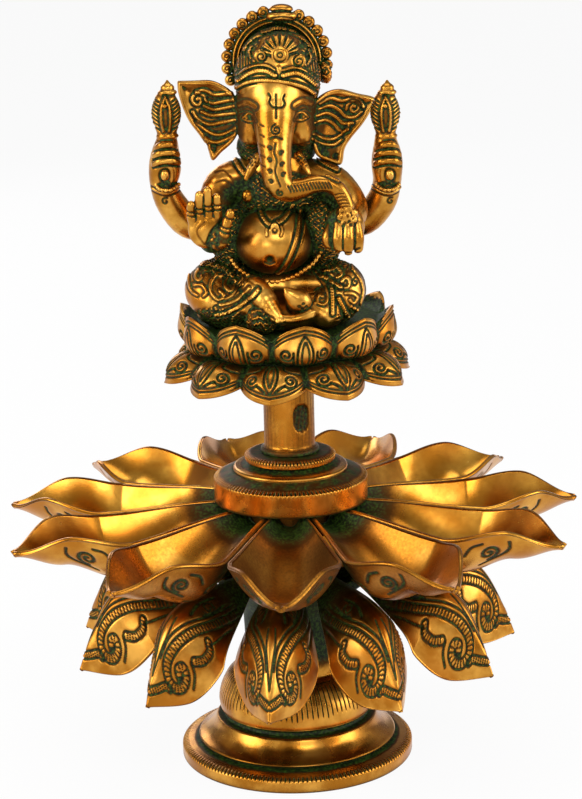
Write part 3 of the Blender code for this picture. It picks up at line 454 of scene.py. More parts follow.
def post_marks(angle, radius, height):
    """The shallow, rough, round-ended recess on the post's front, patina round its foot, and
    painted shade on the post's sides, broken by painted reflection streaks and kept off a painted
    highlight stripe at the front left.
    """
    azimuth, drop, half_width, half_height = math.radians(-60), 16.5, 4.0, 6.0
    side = ((angle - azimuth + math.pi) % TAU - math.pi) * 10.7
    level = height - (POST_HIGH[2] - drop)
    beyond = np.maximum(np.abs(level) - (half_height - half_width), 0)
    inside = 1 - smoothstep(np.sqrt(side ** 2 + beyond ** 2), half_width - 0.6, half_width + 0.1)
    inside = inside * (radius > 9)
    rough = np.sin(2.1 * side + 1.3 * level) * np.sin(1.7 * level - 0.8 * side + 1)
    foot = (1 - smoothstep(height, POST_LOW[2] + 0.5, POST_LOW[2] + 3.5)) * (radius > 9)
    # painted light on the post: vertical painted reflection streaks, and a stripe at the front
    # left kept bright as a painted highlight; the rest of the sides gets painted shade
    painted_reflection_streaks = 0.5 + 0.5 * np.sin(23 * angle + 0.3) * np.sin(57 * angle + 0.08 * height)
    lit = np.exp(-(((angle - math.radians(-102) + math.pi) % TAU - math.pi) / 0.42) ** 2)
    dull = 0.30 * (1 - lit) * (0.6 + 0.4 * painted_reflection_streaks)
    # patina of the recess and the foot, plus the painted shade of the post's sides
    patina = inside * (0.42 + 0.16 * rough) + 0.4 * foot + dull
    return -inside * (0.95 + 0.2 * rough), 0 * radius, np.clip(patina, 0, 1)


def make_post():
    low, high = POST_LOW[2], POST_HIGH[2]
    turned("post_looks",
           [(BORE, high, 0), (10.7, high, 0.3), (10.7, low + 2.6, 1.2), (12.4, low + 1.6, 0.8),
            (12.4, low, 0.3), (BORE, low, 0)],
           "polished_brass", "post", ["post"], 480, post_marks)


# Drawn ornament: strokes on a surface that is laid out flat, in millimetres

def curve_through(points, steps=8):
    """A Catmull-Rom curve through the points."""
    p = np.array([points[0], *points, points[-1]], float)
    t = np.linspace(0, 1, steps, endpoint=False)[:, None]
    parts = []
    for a, b, c, d in zip(p, p[1:], p[2:], p[3:]):
        parts.append(0.5 * (2 * b + (c - a) * t + (2 * a - 5 * b + 4 * c - d) * t ** 2
                            + (3 * b - a - 3 * c + d) * t ** 3))
    return np.vstack([*parts, p[-1:]])


def spiral(centre, start_radius, end_radius, start_angle, turns, steps=16):
    """A spiral from its outer end inwards; turns below zero run clockwise."""
    t = np.linspace(0, 1, max(4, int(abs(turns) * steps)))
    radius = start_radius + (end_radius - start_radius) * t
    angle = math.radians(start_angle) + t * turns * TAU
    return np.stack([centre[0] + radius * np.cos(angle), centre[1] + radius * np.sin(angle)], 1)


def near_line(x, y, line):
    """Distance of each point from a line, and how far along the line its foot lies."""
    best = np.full(x.shape, 1e9)
    along = np.zeros(x.shape)
    run = 0.0
    for (x0, y0), (x1, y1) in zip(line, line[1:]):
        dx, dy = x1 - x0, y1 - y0
        length = math.hypot(dx, dy)
        if length < 1e-6:
            continue
        t = np.clip(((x - x0) * dx + (y - y0) * dy) / length ** 2, 0, 1)
        gap = np.hypot(x - x0 - t * dx, y - y0 - t * dy)
        nearer = gap < best
        best = np.where(nearer, gap, best)
        along = np.where(nearer, run + t * length, along)
        run += length
    return best, along


def groove(x, y, line, width):
    """1 in the middle of a cut line, falling to 0 beside it."""
    return np.exp(-(near_line(x, y, line)[0] / width) ** 2)


def cut_in(x, y, strokes, height, patina):
    """Height and patina with strokes of (line, width, depth) cut into them."""
    for line, width, deep in strokes:
        cut = groove(x, y, line, width)
        height -= deep * cut
        patina = np.maximum(patina, 0.9 * cut)
    return height, patina


def ribbed_band(x, y, line, half, pitch):
    """A band with cross ribs between two cut edges: height and patina."""
    gap, along = near_line(x, y, line)
    inside = 1 - smoothstep(gap, half - 0.25, half + 0.15)
    rib = 0.5 + 0.5 * np.cos(along / pitch * TAU)
    edge = np.exp(-((gap - half - 0.35) / 0.38) ** 2)
    height = inside * (0.40 * rib - 0.12) - 0.55 * edge
    patina = 0.95 * edge + inside * 0.75 * smoothstep(1 - rib, 0.55, 0.95)
    return height, patina


# Lower petals

LOWER_BASE = HEAD_TOP + 4.7         # the crest of a petal at its root
LOWER_ROWS = [
    # radius, height, half width and height of the arch, setback of the side edges
    (25.0, 0.0, 5.2, 4.4, 0.0), (36.0, 0.0, 7.6, 4.4, 0.0), (64.0, -1.0, 16.2, 17.6, 3.3),
    (80.0, -7.5, 16.7, 22.0, 11.0), (89.3, -22.8, 10.3, 16.3, 9.9), (95.0, -37.5, 0.6, 0.6, 0.0)]


def lower_shape(u, v):
    """Outer face of a hooded petal, with u from its root to its tip and v across it."""
    line = curve_through(LOWER_ROWS, 12)
    place = u * (len(line) - 1)
    columns = [np.interp(place, np.arange(len(line)), line[:, k]) for k in range(5)]
    radius, crest, half, arch, setback = columns
    room = (radius - setback) * math.tan(HALF_PITCH) - PETAL_GAP / math.cos(HALF_PITCH)
    half = np.minimum(half, room)
    drop = np.abs(v) ** (2.3 - 0.6 * u)
    return np.stack([radius - setback * drop, half * v, LOWER_BASE + crest - arch * drop],
                    axis=-1)


def offset_shell(surface, wall):
    """The same grid pushed along its normals by the wall."""
    du = np.gradient(surface, axis=0)
    dv = np.gradient(surface, axis=1)
    normal = unit(np.cross(du, dv))
    return surface + normal * wall, normal


def arc_lengths(surface):
    """Distance along each column from the last row, and across each row from its middle."""
    down = np.linalg.norm(np.diff(surface, axis=0), axis=-1)
    middle = surface.shape[1] // 2
    rise = np.concatenate([np.cumsum(down[::-1, middle])[::-1], [0]])
    across = np.linalg.norm(np.diff(surface, axis=1), axis=-1)
    total = np.concatenate([np.zeros((len(surface), 1)), np.cumsum(across, axis=1)], axis=1)
    return total - total[:, middle:middle + 1], np.repeat(rise[:, None], surface.shape[1], 1)


def lower_ornament(x, y):
    """Carving of a hooded petal: x across from the crest, y up from the tip."""
    height = np.zeros_like(x)
    patina = np.zeros_like(x)
    side = np.abs(x) / 1.16
    band = curve_through([(13.2, 66), (13.4, 56), (12.0, 46), (8.6, 36), (5.4, 27),
                          (4.4, 20), (6.4, 15.5), (10.4, 14.6), (13.6, 17.4), (13.9, 21.4),
                          (11.4, 23.4), (9.6, 21.2), (11.0, 19.4)])
    hook = curve_through([(0.2, 5.6), (3.4, 8.8), (6.2, 12.0), (8.4, 12.6)])
    crest = curve_through([(15.0, 29), (18.2, 32.5), (18.6, 37.5), (15.8, 40.5)])
    for line, half, pitch in ((band, 1.35, 1.55), (hook, 0.95, 1.3), (crest, 1.2, 1.4)):
        rise, dark = ribbed_band(side, y, line, half, pitch)
        height += rise
        patina = np.maximum(patina, dark)
    leaf = curve_through([(4.2, 58), (3.4, 50), (4.6, 43)])
    slit = curve_through([(8.4, 60), (9.0, 53.5), (8.0, 47)])
    tick = curve_through([(14.0, 27.5), (17.0, 25.0), (18.4, 20.5)])
    inner = curve_through([(9.6, 64), (9.8, 56), (8.6, 47), (5.4, 38), (2.4, 29), (1.4, 20)])
    vein = curve_through([(0.0, 12), (0.9, 22), (1.6, 30), (1.2, 38)])
    upper = spiral((6.6, 52.0), 3.4, 0.8, -80, 1.4)
    rim = curve_through([(17.5, 66), (17.6, 55), (17.9, 46), (17.4, 40)])
    return cut_in(side, y, ((leaf, 0.75, 0.55), (vein, 0.35, 0.25), (upper, 0.45, 0.5),
                            (rim, 0.5, 0.45), (slit, 0.7, 0.5), (tick, 0.6, 0.5),
                            (inner, 0.45, 0.45)), height, patina)


def petal_mesh(surface, wall, out_height, patina):
    """Closes a petal: carved outer face, plain inner face and a rounded edge."""
    inner, normal = offset_shell(surface, -wall)
    outer = surface + normal * out_height[..., None]
    middle = (outer + inner) / 2
    rows, columns = surface.shape[:2]
    loop = [(i, 0) for i in range(rows)] + [(rows - 1, j) for j in range(1, columns)]
    loop += [(i, columns - 1) for i in range(rows - 2, -1, -1)]
    loop += [(0, j) for j in range(columns - 2, 0, -1)]
    i, j = np.array(loop).T
    within = np.ix_(np.clip(np.arange(rows), 1, rows - 2),
                    np.clip(np.arange(columns), 1, columns - 2))
    push = unit(surface - surface[within])
    rim = []
    for t in (-0.7, 0.0, 0.7):
        bulge = 0.35 * wall * math.sqrt(1 - t * t)
        rim.append(middle[i, j] + normal[i, j] * (t * wall / 2) + push[i, j] * bulge)
    count = rows * columns
    points = np.vstack([outer.reshape(-1, 3), inner.reshape(-1, 3), *rim])
    face = quads_between(rows, columns)
    quads = [face[:, ::-1], face + count]
    flat = i * columns + j
    size = len(flat)
    rings = [flat + count] + [2 * count + k * size + np.arange(size) for k in range(3)] + [flat]
    for a, b in zip(rings, rings[1:]):
        quads.append(np.stack([b, np.roll(b, -1), np.roll(a, -1), a], axis=-1))
    marks = np.concatenate([patina.ravel(), np.full(count, 0.3), np.zeros(3 * size)])
    return points, np.vstack(quads), marks


def turn_about_axis(points, azimuth):
    c, s = math.cos(azimuth), math.sin(azimuth)
    return points @ np.array([[c, s, 0], [-s, c, 0], [0, 0, 1]])


def petal_grid(rows, columns):
    """u from 0 at the root to 1 at the tip, and v from -1 to 1 across."""
    return np.broadcast_arrays(np.linspace(0, 1, rows)[:, None] ** 0.9,
                               np.linspace(-1, 1, columns)[None, :])


def make_lower_petals():
    u, v = petal_grid(150, 121)
    surface = lower_shape(u, v)
    x, y = arc_lengths(surface)
    height, patina = lower_ornament(x, y)
    edge = smoothstep(1 - np.abs(v), 0.0, 0.05)
    root = smoothstep(surface[..., 0], 44, 52)
    height, patina = height * edge * root, patina * edge * root
    patina = np.maximum(patina, 0.75 * (1 - smoothstep(surface[..., 0], 45, 66)))
    points, quads, marks = petal_mesh(surface, PETAL_WALL, height, patina)
    for i in range(PETALS):
        name = f"lower_petal_{i + 1:02d}"
        placed = turn_about_axis(points, LOWER_PHASE + i * TAU / PETALS)
        add_piece(name + "_looks", placed, quads, "carved_brass", "lotus", [name], marks)


# Upper petals

def eased(line, radius):
    radii, heights = np.array(line, float).T
    k = np.clip(np.searchsorted(radii, radius) - 1, 0, len(line) - 2)
    t = np.clip((radius - radii[k]) / (radii[k + 1] - radii[k]), 0, 1)
    return heights[k] + (heights[k + 1] - heights[k]) * t * t * (3 - 2 * t)


def upper_shape(u, v):
    """Inside of a bowl petal, with u from its root to its spout and v across it."""
    root, split, shoulder, tip = 25.0, 79.0, 102.0, 122.1
    rim_line = [(root, RIDGE), (33.0, RIDGE), (split, RIDGE - 2.6), (shoulder, RIDGE + 1.4),
                (tip, RIDGE - 5.8)]
    bottom = RIDGE - 20.5
    lip = RIDGE - 6.6
    floor_line = [(root, RIDGE - 5.2), (35.0, RIDGE - 5.2), (split, bottom),
                  (shoulder, bottom + 0.58 * (lip - bottom)), (tip, lip)]
    radius = root + (tip - root) * u
    rim, floor = eased(rim_line, radius), eased(floor_line, radius)
    outward = np.clip((radius - split) / (tip - split), 0, 1)
    room = np.minimum(radius, split) * math.tan(HALF_PITCH) - PETAL_GAP / math.cos(HALF_PITCH)
    half = room * (1 - outward ** 1.95) + 0.6 * outward
    power = 2.4 - 0.9 * outward
    return np.stack([radius, half * v, floor + (rim - floor) * np.abs(v) ** power], axis=-1)


def bowl_ornament(x, y):
    """Small cut leaves on the underside of a bowl: x across, y up from the spout."""
    strokes = [(spiral((17.0, 46.0), 5.0, 0.9, 200, -1.5), 0.7, 0.6),
               (spiral((15.5, 28.0), 4.4, 0.8, 160, 1.5), 0.7, 0.6),
               (curve_through([(11.5, 52.0), (16.0, 55.5), (22.0, 52.5), (24.5, 46.0)]), 0.6, 0.5),
               (curve_through([(10.0, 34.0), (10.5, 25.0), (14.0, 20.0), (18.0, 19.0)]), 0.6, 0.5),
               (curve_through([(7.0, 60.0), (9.0, 49.0), (7.0, 39.0)]), 0.8, 0.5),
               (curve_through([(20.5, 38.0), (23.5, 34.0), (22.5, 29.0)]), 0.6, 0.5)]
    return cut_in(np.abs(x), y, strokes, np.zeros_like(x), np.zeros_like(x))


def make_upper_petals():
    u, v = petal_grid(130, 111)
    outer = offset_shell(upper_shape(u, v), -PETAL_WALL)[0][:, ::-1]
    x, y = arc_lengths(outer)
    height, patina = bowl_ornament(x, y)
    stain = (0.8 * smoothstep(y, 55, 78)
             + 0.5 * smoothstep(y, 30, 60) * smoothstep(np.abs(v), 0.5, 0.9))
    patina = np.maximum(patina, stain)
    edge = smoothstep(1 - np.abs(v), 0.0, 0.05)
    points, quads, marks = petal_mesh(outer, PETAL_WALL, height * edge, patina * edge)
    inner_marks = marks[patina.size:2 * patina.size].reshape(patina.shape)
    inner_marks[...] = 0.65 * (1 - smoothstep(outer[..., 0], 36, 50))
    for i in range(PETALS):
        name = f"upper_petal_{i + 1:02d}"
        azimuth = UPPER_PHASE + i * TAU / PETALS
        # painted shade: the bowls at the front are made browner, standing in for the dark
        # reflection in them
        front_bowl_painted_shade = max(0.0, -math.sin(azimuth)) ** 3        # the bowls in front are browner
        placed = turn_about_axis(points, azimuth)
        add_piece(name + "_looks", placed, quads, "polished_brass", "lotus", [name],
                  np.clip(marks + 0.22 * front_bowl_painted_shade, 0, 1))


# Lotus seat

SEAT_PITCH = TAU / 10
SEAT_PHASES = (math.radians(-98.5), math.radians(-80.8))    # lower and upper ring of petals


def seat_sections():
    """Sections of the double lotus above its bottom, from its bore round to its socket:
    radius and height in a cleft, the same at a tip, and 1 in the upper ring of petals."""
    inside = [(0.01, 11.5), (3.3, 11.5), (3.3, 0.0), (16.0, 0.0)]
    under = [(r, z, r, z, 0) for r, z in inside]
    under += [(35.5, 4.9, 35.5, 7.6, 0), (43.2, 4.0, 51.9, -0.2, 0), (43.5, 4.4, 52.4, 0.0, 0)]
    lower = curve_through([(43.6, 5.2, 52.3, 1.0, 0), (42.6, 7.6, 50.2, 6.4, 0),
                           (39.4, 9.8, 45.6, 10.4, 0), (36.4, 11.6, 39.4, 12.2, 0),
                           (35.5, 12.5, 35.5, 12.5, 0)], 14)
    upper = curve_through([(35.6, 12.7, 35.6, 12.7, 1), (39.2, 15.0, 42.2, 14.8, 1),
                           (41.2, 18.6, 44.8, 19.4, 1), (41.4, 21.4, 44.6, 25.6, 1),
                           (41.5, 23.0, 45.3, 30.2, 1)], 14)
    over = [(40.9, 23.4, 44.9, 30.5, 1), (39.7, 23.5, 43.6, 29.9, 1), (38.9, 23.8, 41.6, 26.0, 1)]
    over += [(r, z, r, z, 1) for r, z in ((38.0, 24.0), (5.4, 24.0), (5.4, 15.0), (0.01, 15.0))]
    return np.vstack([densify(np.array(under, float), 1.2), lower, upper,
                      densify(np.array(over, float), 1.2)]), len(lower), len(upper)


def seat_ornament(side, y, upright):
    """Carving of a seat petal: a double-lined bud between two scrolls, from the distance
    beside its middle line and the distance from its tip."""
    if upright:
        bud, lines = (11.5, 7.5, 2.6), [
            ([(0.2, 4.0), (2.0, 7.4), (3.0, 11.5), (2.6, 16.0), (1.4, 18.6)], 0.5, 1.0),
            ([(0.2, 6.4), (1.1, 9.6), (1.3, 13), (0.6, 17.4)], 0.4, 0.8),
            (spiral((7.3, 11.6), 2.9, 0.6, 200, -1.5), 0.5, 0.9),
            ([(3.4, 18.4), (4.2, 15.6), (4.6, 12.4)], 0.5, 0.9),
            ([(10.4, 14.6), (8.6, 16.4), (6.4, 17.6)], 0.45, 0.7)]
    else:
        bud, lines = (9.4, 7.6, 2.2), [
            ([(0.2, 2.8), (1.9, 6), (2.5, 9.6), (2.0, 14), (0.8, 17.4)], 0.5, 1.0),
            ([(0.2, 5.2), (0.9, 8.4), (1.0, 11.6), (0.4, 15.0)], 0.38, 0.7),
            (spiral((7.6, 9.2), 3.1, 0.6, -130, 1.6), 0.5, 1.0),
            ([(2.0, 3.6), (4.0, 5.4), (5.7, 6.7)], 0.5, 0.8),
            ([(4.2, 17.0), (4.8, 14.2), (7.6, 13.4), (10.8, 14.2)], 0.45, 0.7)]
    height, patina = np.zeros_like(side), np.zeros_like(side)
    for line, width, deep in lines:
        stroke = curve_through(line, 6)
        cut = groove(side, y, stroke, width)
        lip = groove(side, y, stroke, 2.2 * width) - cut
        height += 0.45 * deep * lip - deep * cut
        patina = np.maximum(patina, 0.95 * cut) - 0.35 * lip * (cut < 0.2)
    place, half_long, half_wide = bud
    swell = 1 - ((y - place) / half_long) ** 2 - (side / half_wide) ** 2
    height += 0.9 * np.sqrt(np.clip(swell, 0, 1))
    return height, patina


def make_seat():
    rows, lower_count, upper_count = seat_sections()
    steps = 960
    angle = np.arange(steps) / steps * TAU
    phase = np.where(rows[:, 4] > 0.5, SEAT_PHASES[1], SEAT_PHASES[0])[:, None]
    turn = 2 * (((angle - phase) / SEAT_PITCH + 0.5) % 1.0 - 0.5)
    bump = 1 - 0.40 * np.abs(turn) - 0.60 * np.abs(turn) ** 2.4
    radius = rows[:, 0:1] + (rows[:, 2:3] - rows[:, 0:1]) * bump
    height = rows[:, 1:2] + (rows[:, 3:4] - rows[:, 1:2]) * bump
    first = int(np.flatnonzero(rows[:, 4] > 0.5)[0]) - lower_count
    points = np.stack([radius * np.cos(angle), radius * np.sin(angle), height], axis=-1)
    push = np.zeros_like(radius)
    patina = np.zeros_like(radius)
    side = np.abs(turn) * SEAT_PITCH / 2 * radius
    for start, count, upright in ((first, lower_count, False),
                                  (first + lower_count, upper_count, True)):
        part = slice(start, start + count)
        edge_row = start + count - 1 if upright else start
        edge = np.hypot(radius[part] - radius[edge_row], height[part] - height[edge_row])
        if upright:
            from_tip = rows[edge_row, 3] - height[part]
        else:
            from_tip = 0.794 * (52.3 - radius[part]) + 0.607 * (height[part] - 1.0)
        cut, dark = seat_ornament(side[part], from_tip, upright)
        for place, deep in ((1.7, 0.7), (3.1, 0.45)):
            line = np.exp(-((edge - place) / 0.38) ** 2)
            cut = np.minimum(cut, -deep * line)
            dark = np.maximum(dark, 0.85 * line)
        inward = np.linspace(*((0, 1) if upright else (1, 0)), count)[:, None]
        fade = smoothstep(inward, 0.05, 0.2)
        puff = 1.9 * np.sin(math.pi * inward) * (1 - turn[part] ** 2) - 0.5
        cleft = smoothstep(np.abs(turn[part]), 0.84, 0.98)
        push[part] = puff + cut * fade * (1 - cleft)
        root = 1 - smoothstep(inward, 0.06, 0.34)
        patina[part] = np.maximum(dark * fade, np.maximum(0.85 * cleft, root))
    patina = np.maximum(patina, 0.9 * (rows[:, 4:5] > 0.5) * (radius < 42.5) * (height > 23.0))
    across = np.roll(points, -1, axis=1) - np.roll(points, 1, axis=1)
    normal = unit(np.cross(across, np.gradient(points, axis=0)))
    points = points + normal * push[..., None] + [0, 0, SEAT_LOW[2] + 0.5]
    quads = quads_between(len(rows), steps, around=True)
    add_piece("lotus_seat_looks", points.reshape(-1, 3), quads, "carved_brass", "post",
              ["lotus_seat"], patina)


# Clay: a block held as distances to its surface, negative inside, in millimetres above the
# figure's base, with x to the viewer's right and y away from the viewer

class Clay:
    def __init__(self, low, high, step):
        self.low, self.step = np.array(low, float), step
        self.size = np.ceil((np.array(high) - self.low) / step).astype(int) + 1
        self.field = np.full(self.size, 5.0, np.float32)
        self.stain = np.zeros(self.size, np.float32)

    def part(self, low, high):
        """Slices of the block between two corners, with the coordinates along each axis."""
        first = np.floor((np.array(low) - self.low) / self.step).astype(int)
        last = np.ceil((np.array(high) - self.low) / self.step).astype(int) + 1
        first, last = np.clip(first, 0, self.size - 1), np.clip(last, 1, self.size)
        x, y, z = (np.float32(self.low[k]) + np.float32(self.step)
                   * np.arange(first[k], last[k], dtype=np.float32) for k in range(3))
        cut = tuple(slice(a, b) for a, b in zip(first, last))
        return cut, x[:, None, None], y[None, :, None], z[None, None, :]

    def join(self, cut, shape, soft):
        """Adds a shape, with its joint to the clay rounded out."""
        here = self.field[cut]
        if soft <= 0:
            self.field[cut] = np.minimum(here, shape)
            return
        share = np.clip(0.5 + (here - shape) / (2 * soft), 0, 1)
        self.field[cut] = here + (shape - here) * share - soft * share * (1 - share)

    def ball(self, centre, radii, soft=1.0, tilt=0.0):
        """An ellipsoid; tilt leans its top to the viewer's right, in degrees."""
        centre, radii = np.array(centre, float), np.array(radii, float)
        reach = radii + 3 if tilt == 0 else np.full(3, max(radii) + 3)
        cut, x, y, z = self.part(centre - reach, centre + reach)
        x, y, z = x - centre[0], y - centre[1], z - centre[2]
        if tilt:
            c, s = math.cos(math.radians(tilt)), math.sin(math.radians(tilt))
            x, z = x * c - z * s, x * s + z * c
        a, b, c = radii
        near = np.sqrt((x / a) ** 2 + (y / b) ** 2 + (z / c) ** 2)
        slope = np.sqrt((x / a ** 2) ** 2 + (y / b ** 2) ** 2 + (z / c ** 2) ** 2)
        self.join(cut, near * (near - 1) / np.maximum(slope, 1e-4), soft)

    def limb(self, rows, soft=1.0, steps=4):
        """A round bar through rows of x, y, z and radius."""
        line = curve_through(rows, steps)
        margin = line[:, 3].max() + 3
        cut, x, y, z = self.part(line[:, :3].min(axis=0) - margin,
                                 line[:, :3].max(axis=0) + margin)
        shape = np.full((x.size, y.size, z.size), 5.0, np.float32)
        for a, b in zip(line, line[1:]):
            run = b - a
            length = float(run[:3] @ run[:3])
            if length < 1e-6:
                continue
            reach = max(a[3], b[3]) + 2.8
            inner, x, y, z = self.part(np.minimum(a, b)[:3] - reach, np.maximum(a, b)[:3] + reach)
            local = tuple(slice(s.start - f.start, s.stop - f.start) for s, f in zip(inner, cut))
            x, y, z = x - a[0], y - a[1], z - a[2]
            t = np.clip((x * run[0] + y * run[1] + z * run[2]) / length, 0, 1)
            gap = np.sqrt((x - t * run[0]) ** 2 + (y - t * run[1]) ** 2 + (z - t * run[2]) ** 2)
            shape[local] = np.minimum(shape[local], gap - (a[3] + t * run[3]))
        self.join(cut, shape, soft)

    def plate(self, outline, depth, half, rim, bowl, soft=1.0):
        """A plate that fills an outline in the front view. depth gives the y of its middle
        for x, half its half thickness, rim the roll of its edge and bowl its hollow."""
        line = curve_through([*outline, outline[0]], 6)
        low, high = line.min(axis=0) - 2, line.max(axis=0) + 2
        cut, x, y, z = self.part((low[0], self.low[1], low[1]), (high[0], 60, high[1]))
        flat_x, flat_z = np.broadcast_arrays(x[:, 0, :], z[:, 0, :])
        gap = near_line(flat_x, flat_z, line)[0]
        inside = np.zeros(flat_x.shape, bool)
        for (x0, z0), (x1, z1) in zip(line, line[1:]):
            if z0 != z1:
                crosses = (flat_z > min(z0, z1)) & (flat_z <= max(z0, z1))
                inside ^= crosses & (flat_x < x0 + (flat_z - z0) * (x1 - x0) / (z1 - z0))
        edge = np.where(inside, -gap, gap).astype(np.float32)
        roll = rim * np.exp(-((edge + 1.1) / 1.0) ** 2)
        middle = depth(flat_x) + bowl * smoothstep(-edge, 1.0, 9.0)
        thick = np.abs(y - middle[:, None, :]) - (half + roll)[:, None, :]
        edge = edge[:, None, :]
        rounding = 0.8
        beside = np.hypot(np.maximum(edge + rounding, 0), np.maximum(thick + rounding, 0))
        within = np.minimum(np.maximum(edge, thick) + rounding, 0)
        self.join(cut, (beside + within - rounding).astype(np.float32), soft)

    def draw(self, line, stroke, reach, back):
        """Cuts or raises the surface in front of the depth back, along a line in the front
        view. stroke gives height and patina from the place."""
        line = np.array(line, float)
        low, high = line.min(axis=0) - reach, line.max(axis=0) + reach
        cut, x, _, z = self.part((low[0], self.low[1], low[1]), (high[0], back, high[1]))
        height, patina = stroke(*np.broadcast_arrays(x[:, 0, :], z[:, 0, :]))
        self.field[cut] -= height[:, None, :].astype(np.float32)
        self.stain[cut] = np.maximum(self.stain[cut], patina[:, None, :])

    def cut_line(self, points, back, width=0.38, depth=0.5, dark=0.9):
        line = curve_through(points, 5)

        def stroke(x, z):
            cut = groove(x, z, line, width)
            return -depth * cut, dark * cut
        self.draw(line, stroke, 3 * width, back)

    def ridge(self, points, back, width=0.6, height=0.6):
        """A raised line with patina along both its sides."""
        line = curve_through(points, 5)

        def stroke(x, z):
            gap = near_line(x, z, line)[0]
            beside = np.exp(-((gap - 1.8 * width) / (0.6 * width)) ** 2)
            return height * np.exp(-(gap / width) ** 2) - 0.4 * height * beside, 0.7 * beside
        self.draw(line, stroke, 4 * width, back)

    def band(self, points, back, half=0.9, pitch=0.95):
        """A raised band of beads."""
        line = curve_through(points, 5)

        def stroke(x, z):
            height, patina = ribbed_band(x, z, line, half, pitch)
            gap = near_line(x, z, line)[0]
            return height + 0.45 * (1 - smoothstep(gap, half - 0.3, half + 0.3)), patina
        self.draw(line, stroke, half + 1.5, back)

    def curl(self, centre, radius, start_angle, turns, back, depth=0.5):
        line = spiral(centre, radius, 0.22 * radius, start_angle, turns, 8)
        self.cut_line(line, back, 0.36, depth)

    def front(self, x, z):
        """The y of the surface seen from the front at x and z, or None."""
        i, k = round((x - self.low[0]) / self.step), round((z - self.low[2]) / self.step)
        column = self.field[int(i), :, int(k)]
        j = int(np.argmax(column < 0))
        if column[j] >= 0 or j == 0:
            return None
        return self.low[1] + self.step * (j - 1 + column[j - 1] / (column[j - 1] - column[j]))

    def beads(self, points, radius, pitch, soft=0.15):
        """Round beads on the front surface along a line."""
        line = curve_through(points, 8)
        run = np.concatenate([[0], np.cumsum(np.hypot(*np.diff(line, axis=0).T))])
        for place in np.linspace(0, run[-1], max(2, int(run[-1] / pitch) + 1)):
            x, z = np.interp(place, run, line[:, 0]), np.interp(place, run, line[:, 1])
            y = self.front(x, z)
            if y is not None:
                self.ball((x, y, z), (radius, radius, radius), soft)

    def around(self, centre, radii):
        """The part about a centre, and how far out each place lies: 1 on the ellipsoid."""
        centre, radii = np.array(centre, float), np.array(radii, float)
        cut, x, y, z = self.part(centre - radii, centre + radii)
        near = ((x - centre[0]) / radii[0]) ** 2 + ((y - centre[1]) / radii[1]) ** 2
        return cut, x, y, z, near + ((z - centre[2]) / radii[2]) ** 2

    def darken(self, centre, radii, amount, rough=0.0):
        """Patina over a place, with a pebbled surface where rough is above zero."""
        cut, x, y, z, out = self.around(centre, radii)
        share = 1 - smoothstep(out, 0.45, 1.0)
        drift = 1.6 * np.sin(0.9 * x - 0.5 * z + 1) + 1.3 * np.sin(1.1 * z + 0.7 * y)
        coarse = np.sin(1.9 * x + 1.5 * z + drift) * np.sin(2.6 * z - 1.7 * y - drift)
        small = 0.7 * np.sin(4.1 * x - 2.3 * y + 2 * drift)
        pebble = coarse + small * np.sin(3.7 * z + 1.3 * x + drift)
        self.field[cut] -= (rough * share * pebble).astype(np.float32)
        self.stain[cut] = np.maximum(self.stain[cut], amount * share)

    def clean(self, centre, radii):
        """Takes the patina off a place again."""
        cut, _, _, _, out = self.around(centre, radii)
        self.stain[cut] *= smoothstep(out, 0.75, 1.0).astype(np.float32)

    def string(self, points, radius, pitch):
        """Round beads along a line of x, y and z."""
        line = curve_through(points, 10)
        run = np.concatenate([[0], np.cumsum(np.linalg.norm(np.diff(line, axis=0), axis=1))])
        for place in np.linspace(0, run[-1], int(run[-1] / pitch) + 1):
            spot = [np.interp(place, run, line[:, k]) for k in range(3)]
            self.ball(spot, (radius, radius, radius), 0.1)

    def softened(self):
        """How much clay lies round each place, as a share of a small box about it."""
        cloud = np.clip(0.5 - self.field / (1.5 * self.step), 0, 1)
        reach = max(1, round(0.9 / self.step))
        for axis in (0, 1, 2, 0, 1, 2):
            padding = [(reach + 1, reach) if k == axis else (0, 0) for k in range(3)]
            total = np.cumsum(np.pad(cloud, padding, mode="edge"), axis=axis, dtype=np.float64)
            near = [slice(None)] * 3
            far = [slice(None)] * 3
            near[axis], far[axis] = slice(0, cloud.shape[axis]), slice(2 * reach + 1, None)
            cloud = ((total[tuple(far)] - total[tuple(near)]) / (2 * reach + 1)).astype(np.float32)
        return cloud

    def surface(self):
        """Points, quads and patina of the surface, one point for each cell it runs through."""
        field = self.field
        inside = field < 0
        shift = [(i, j, k) for i in (0, 1) for j in (0, 1) for k in (0, 1)]
        end = [n - 1 for n in field.shape]
        total = sum(inside[i:end[0] + i, j:end[1] + j, k:end[2] + k].astype(np.uint8)
                    for i, j, k in shift)
        mixed = (total > 0) & (total < 8)
        cells = np.argwhere(mixed)
        number = np.full(mixed.shape, -1, np.int64)
        number[mixed] = np.arange(len(cells))
        corner = {s: field[tuple((cells + s).T)] for s in shift}
        place, count = np.zeros((len(cells), 3)), np.zeros(len(cells))
        for a in shift:
            for axis in range(3):
                if a[axis] == 1:
                    continue
                b = tuple(1 if k == axis else a[k] for k in range(3))
                crossed = (corner[a] < 0) != (corner[b] < 0)
                t = corner[a] / np.where(crossed, corner[a] - corner[b], 1)
                spot = np.repeat(np.array(a, float)[None], len(cells), axis=0)
                spot[:, axis] = t
                place[crossed] += spot[crossed]
                count += crossed
        points = self.low + (cells + place / count[:, None]) * self.step
        quads = []
        for axis in range(3):
            a, b = [k for k in range(3) if k != axis]
            core = [slice(1, -1)] * 3
            core[axis] = slice(0, -1)
            ahead = list(core)
            ahead[axis] = slice(1, None)
            first, second = inside[tuple(core)], inside[tuple(ahead)]
            edges = np.argwhere(first != second)
            leaves = first[tuple(edges.T)]
            offset = np.array([0 if k == axis else 1 for k in range(3)])
            base = edges + offset
            step_a, step_b = np.eye(3, dtype=int)[a], np.eye(3, dtype=int)[b]
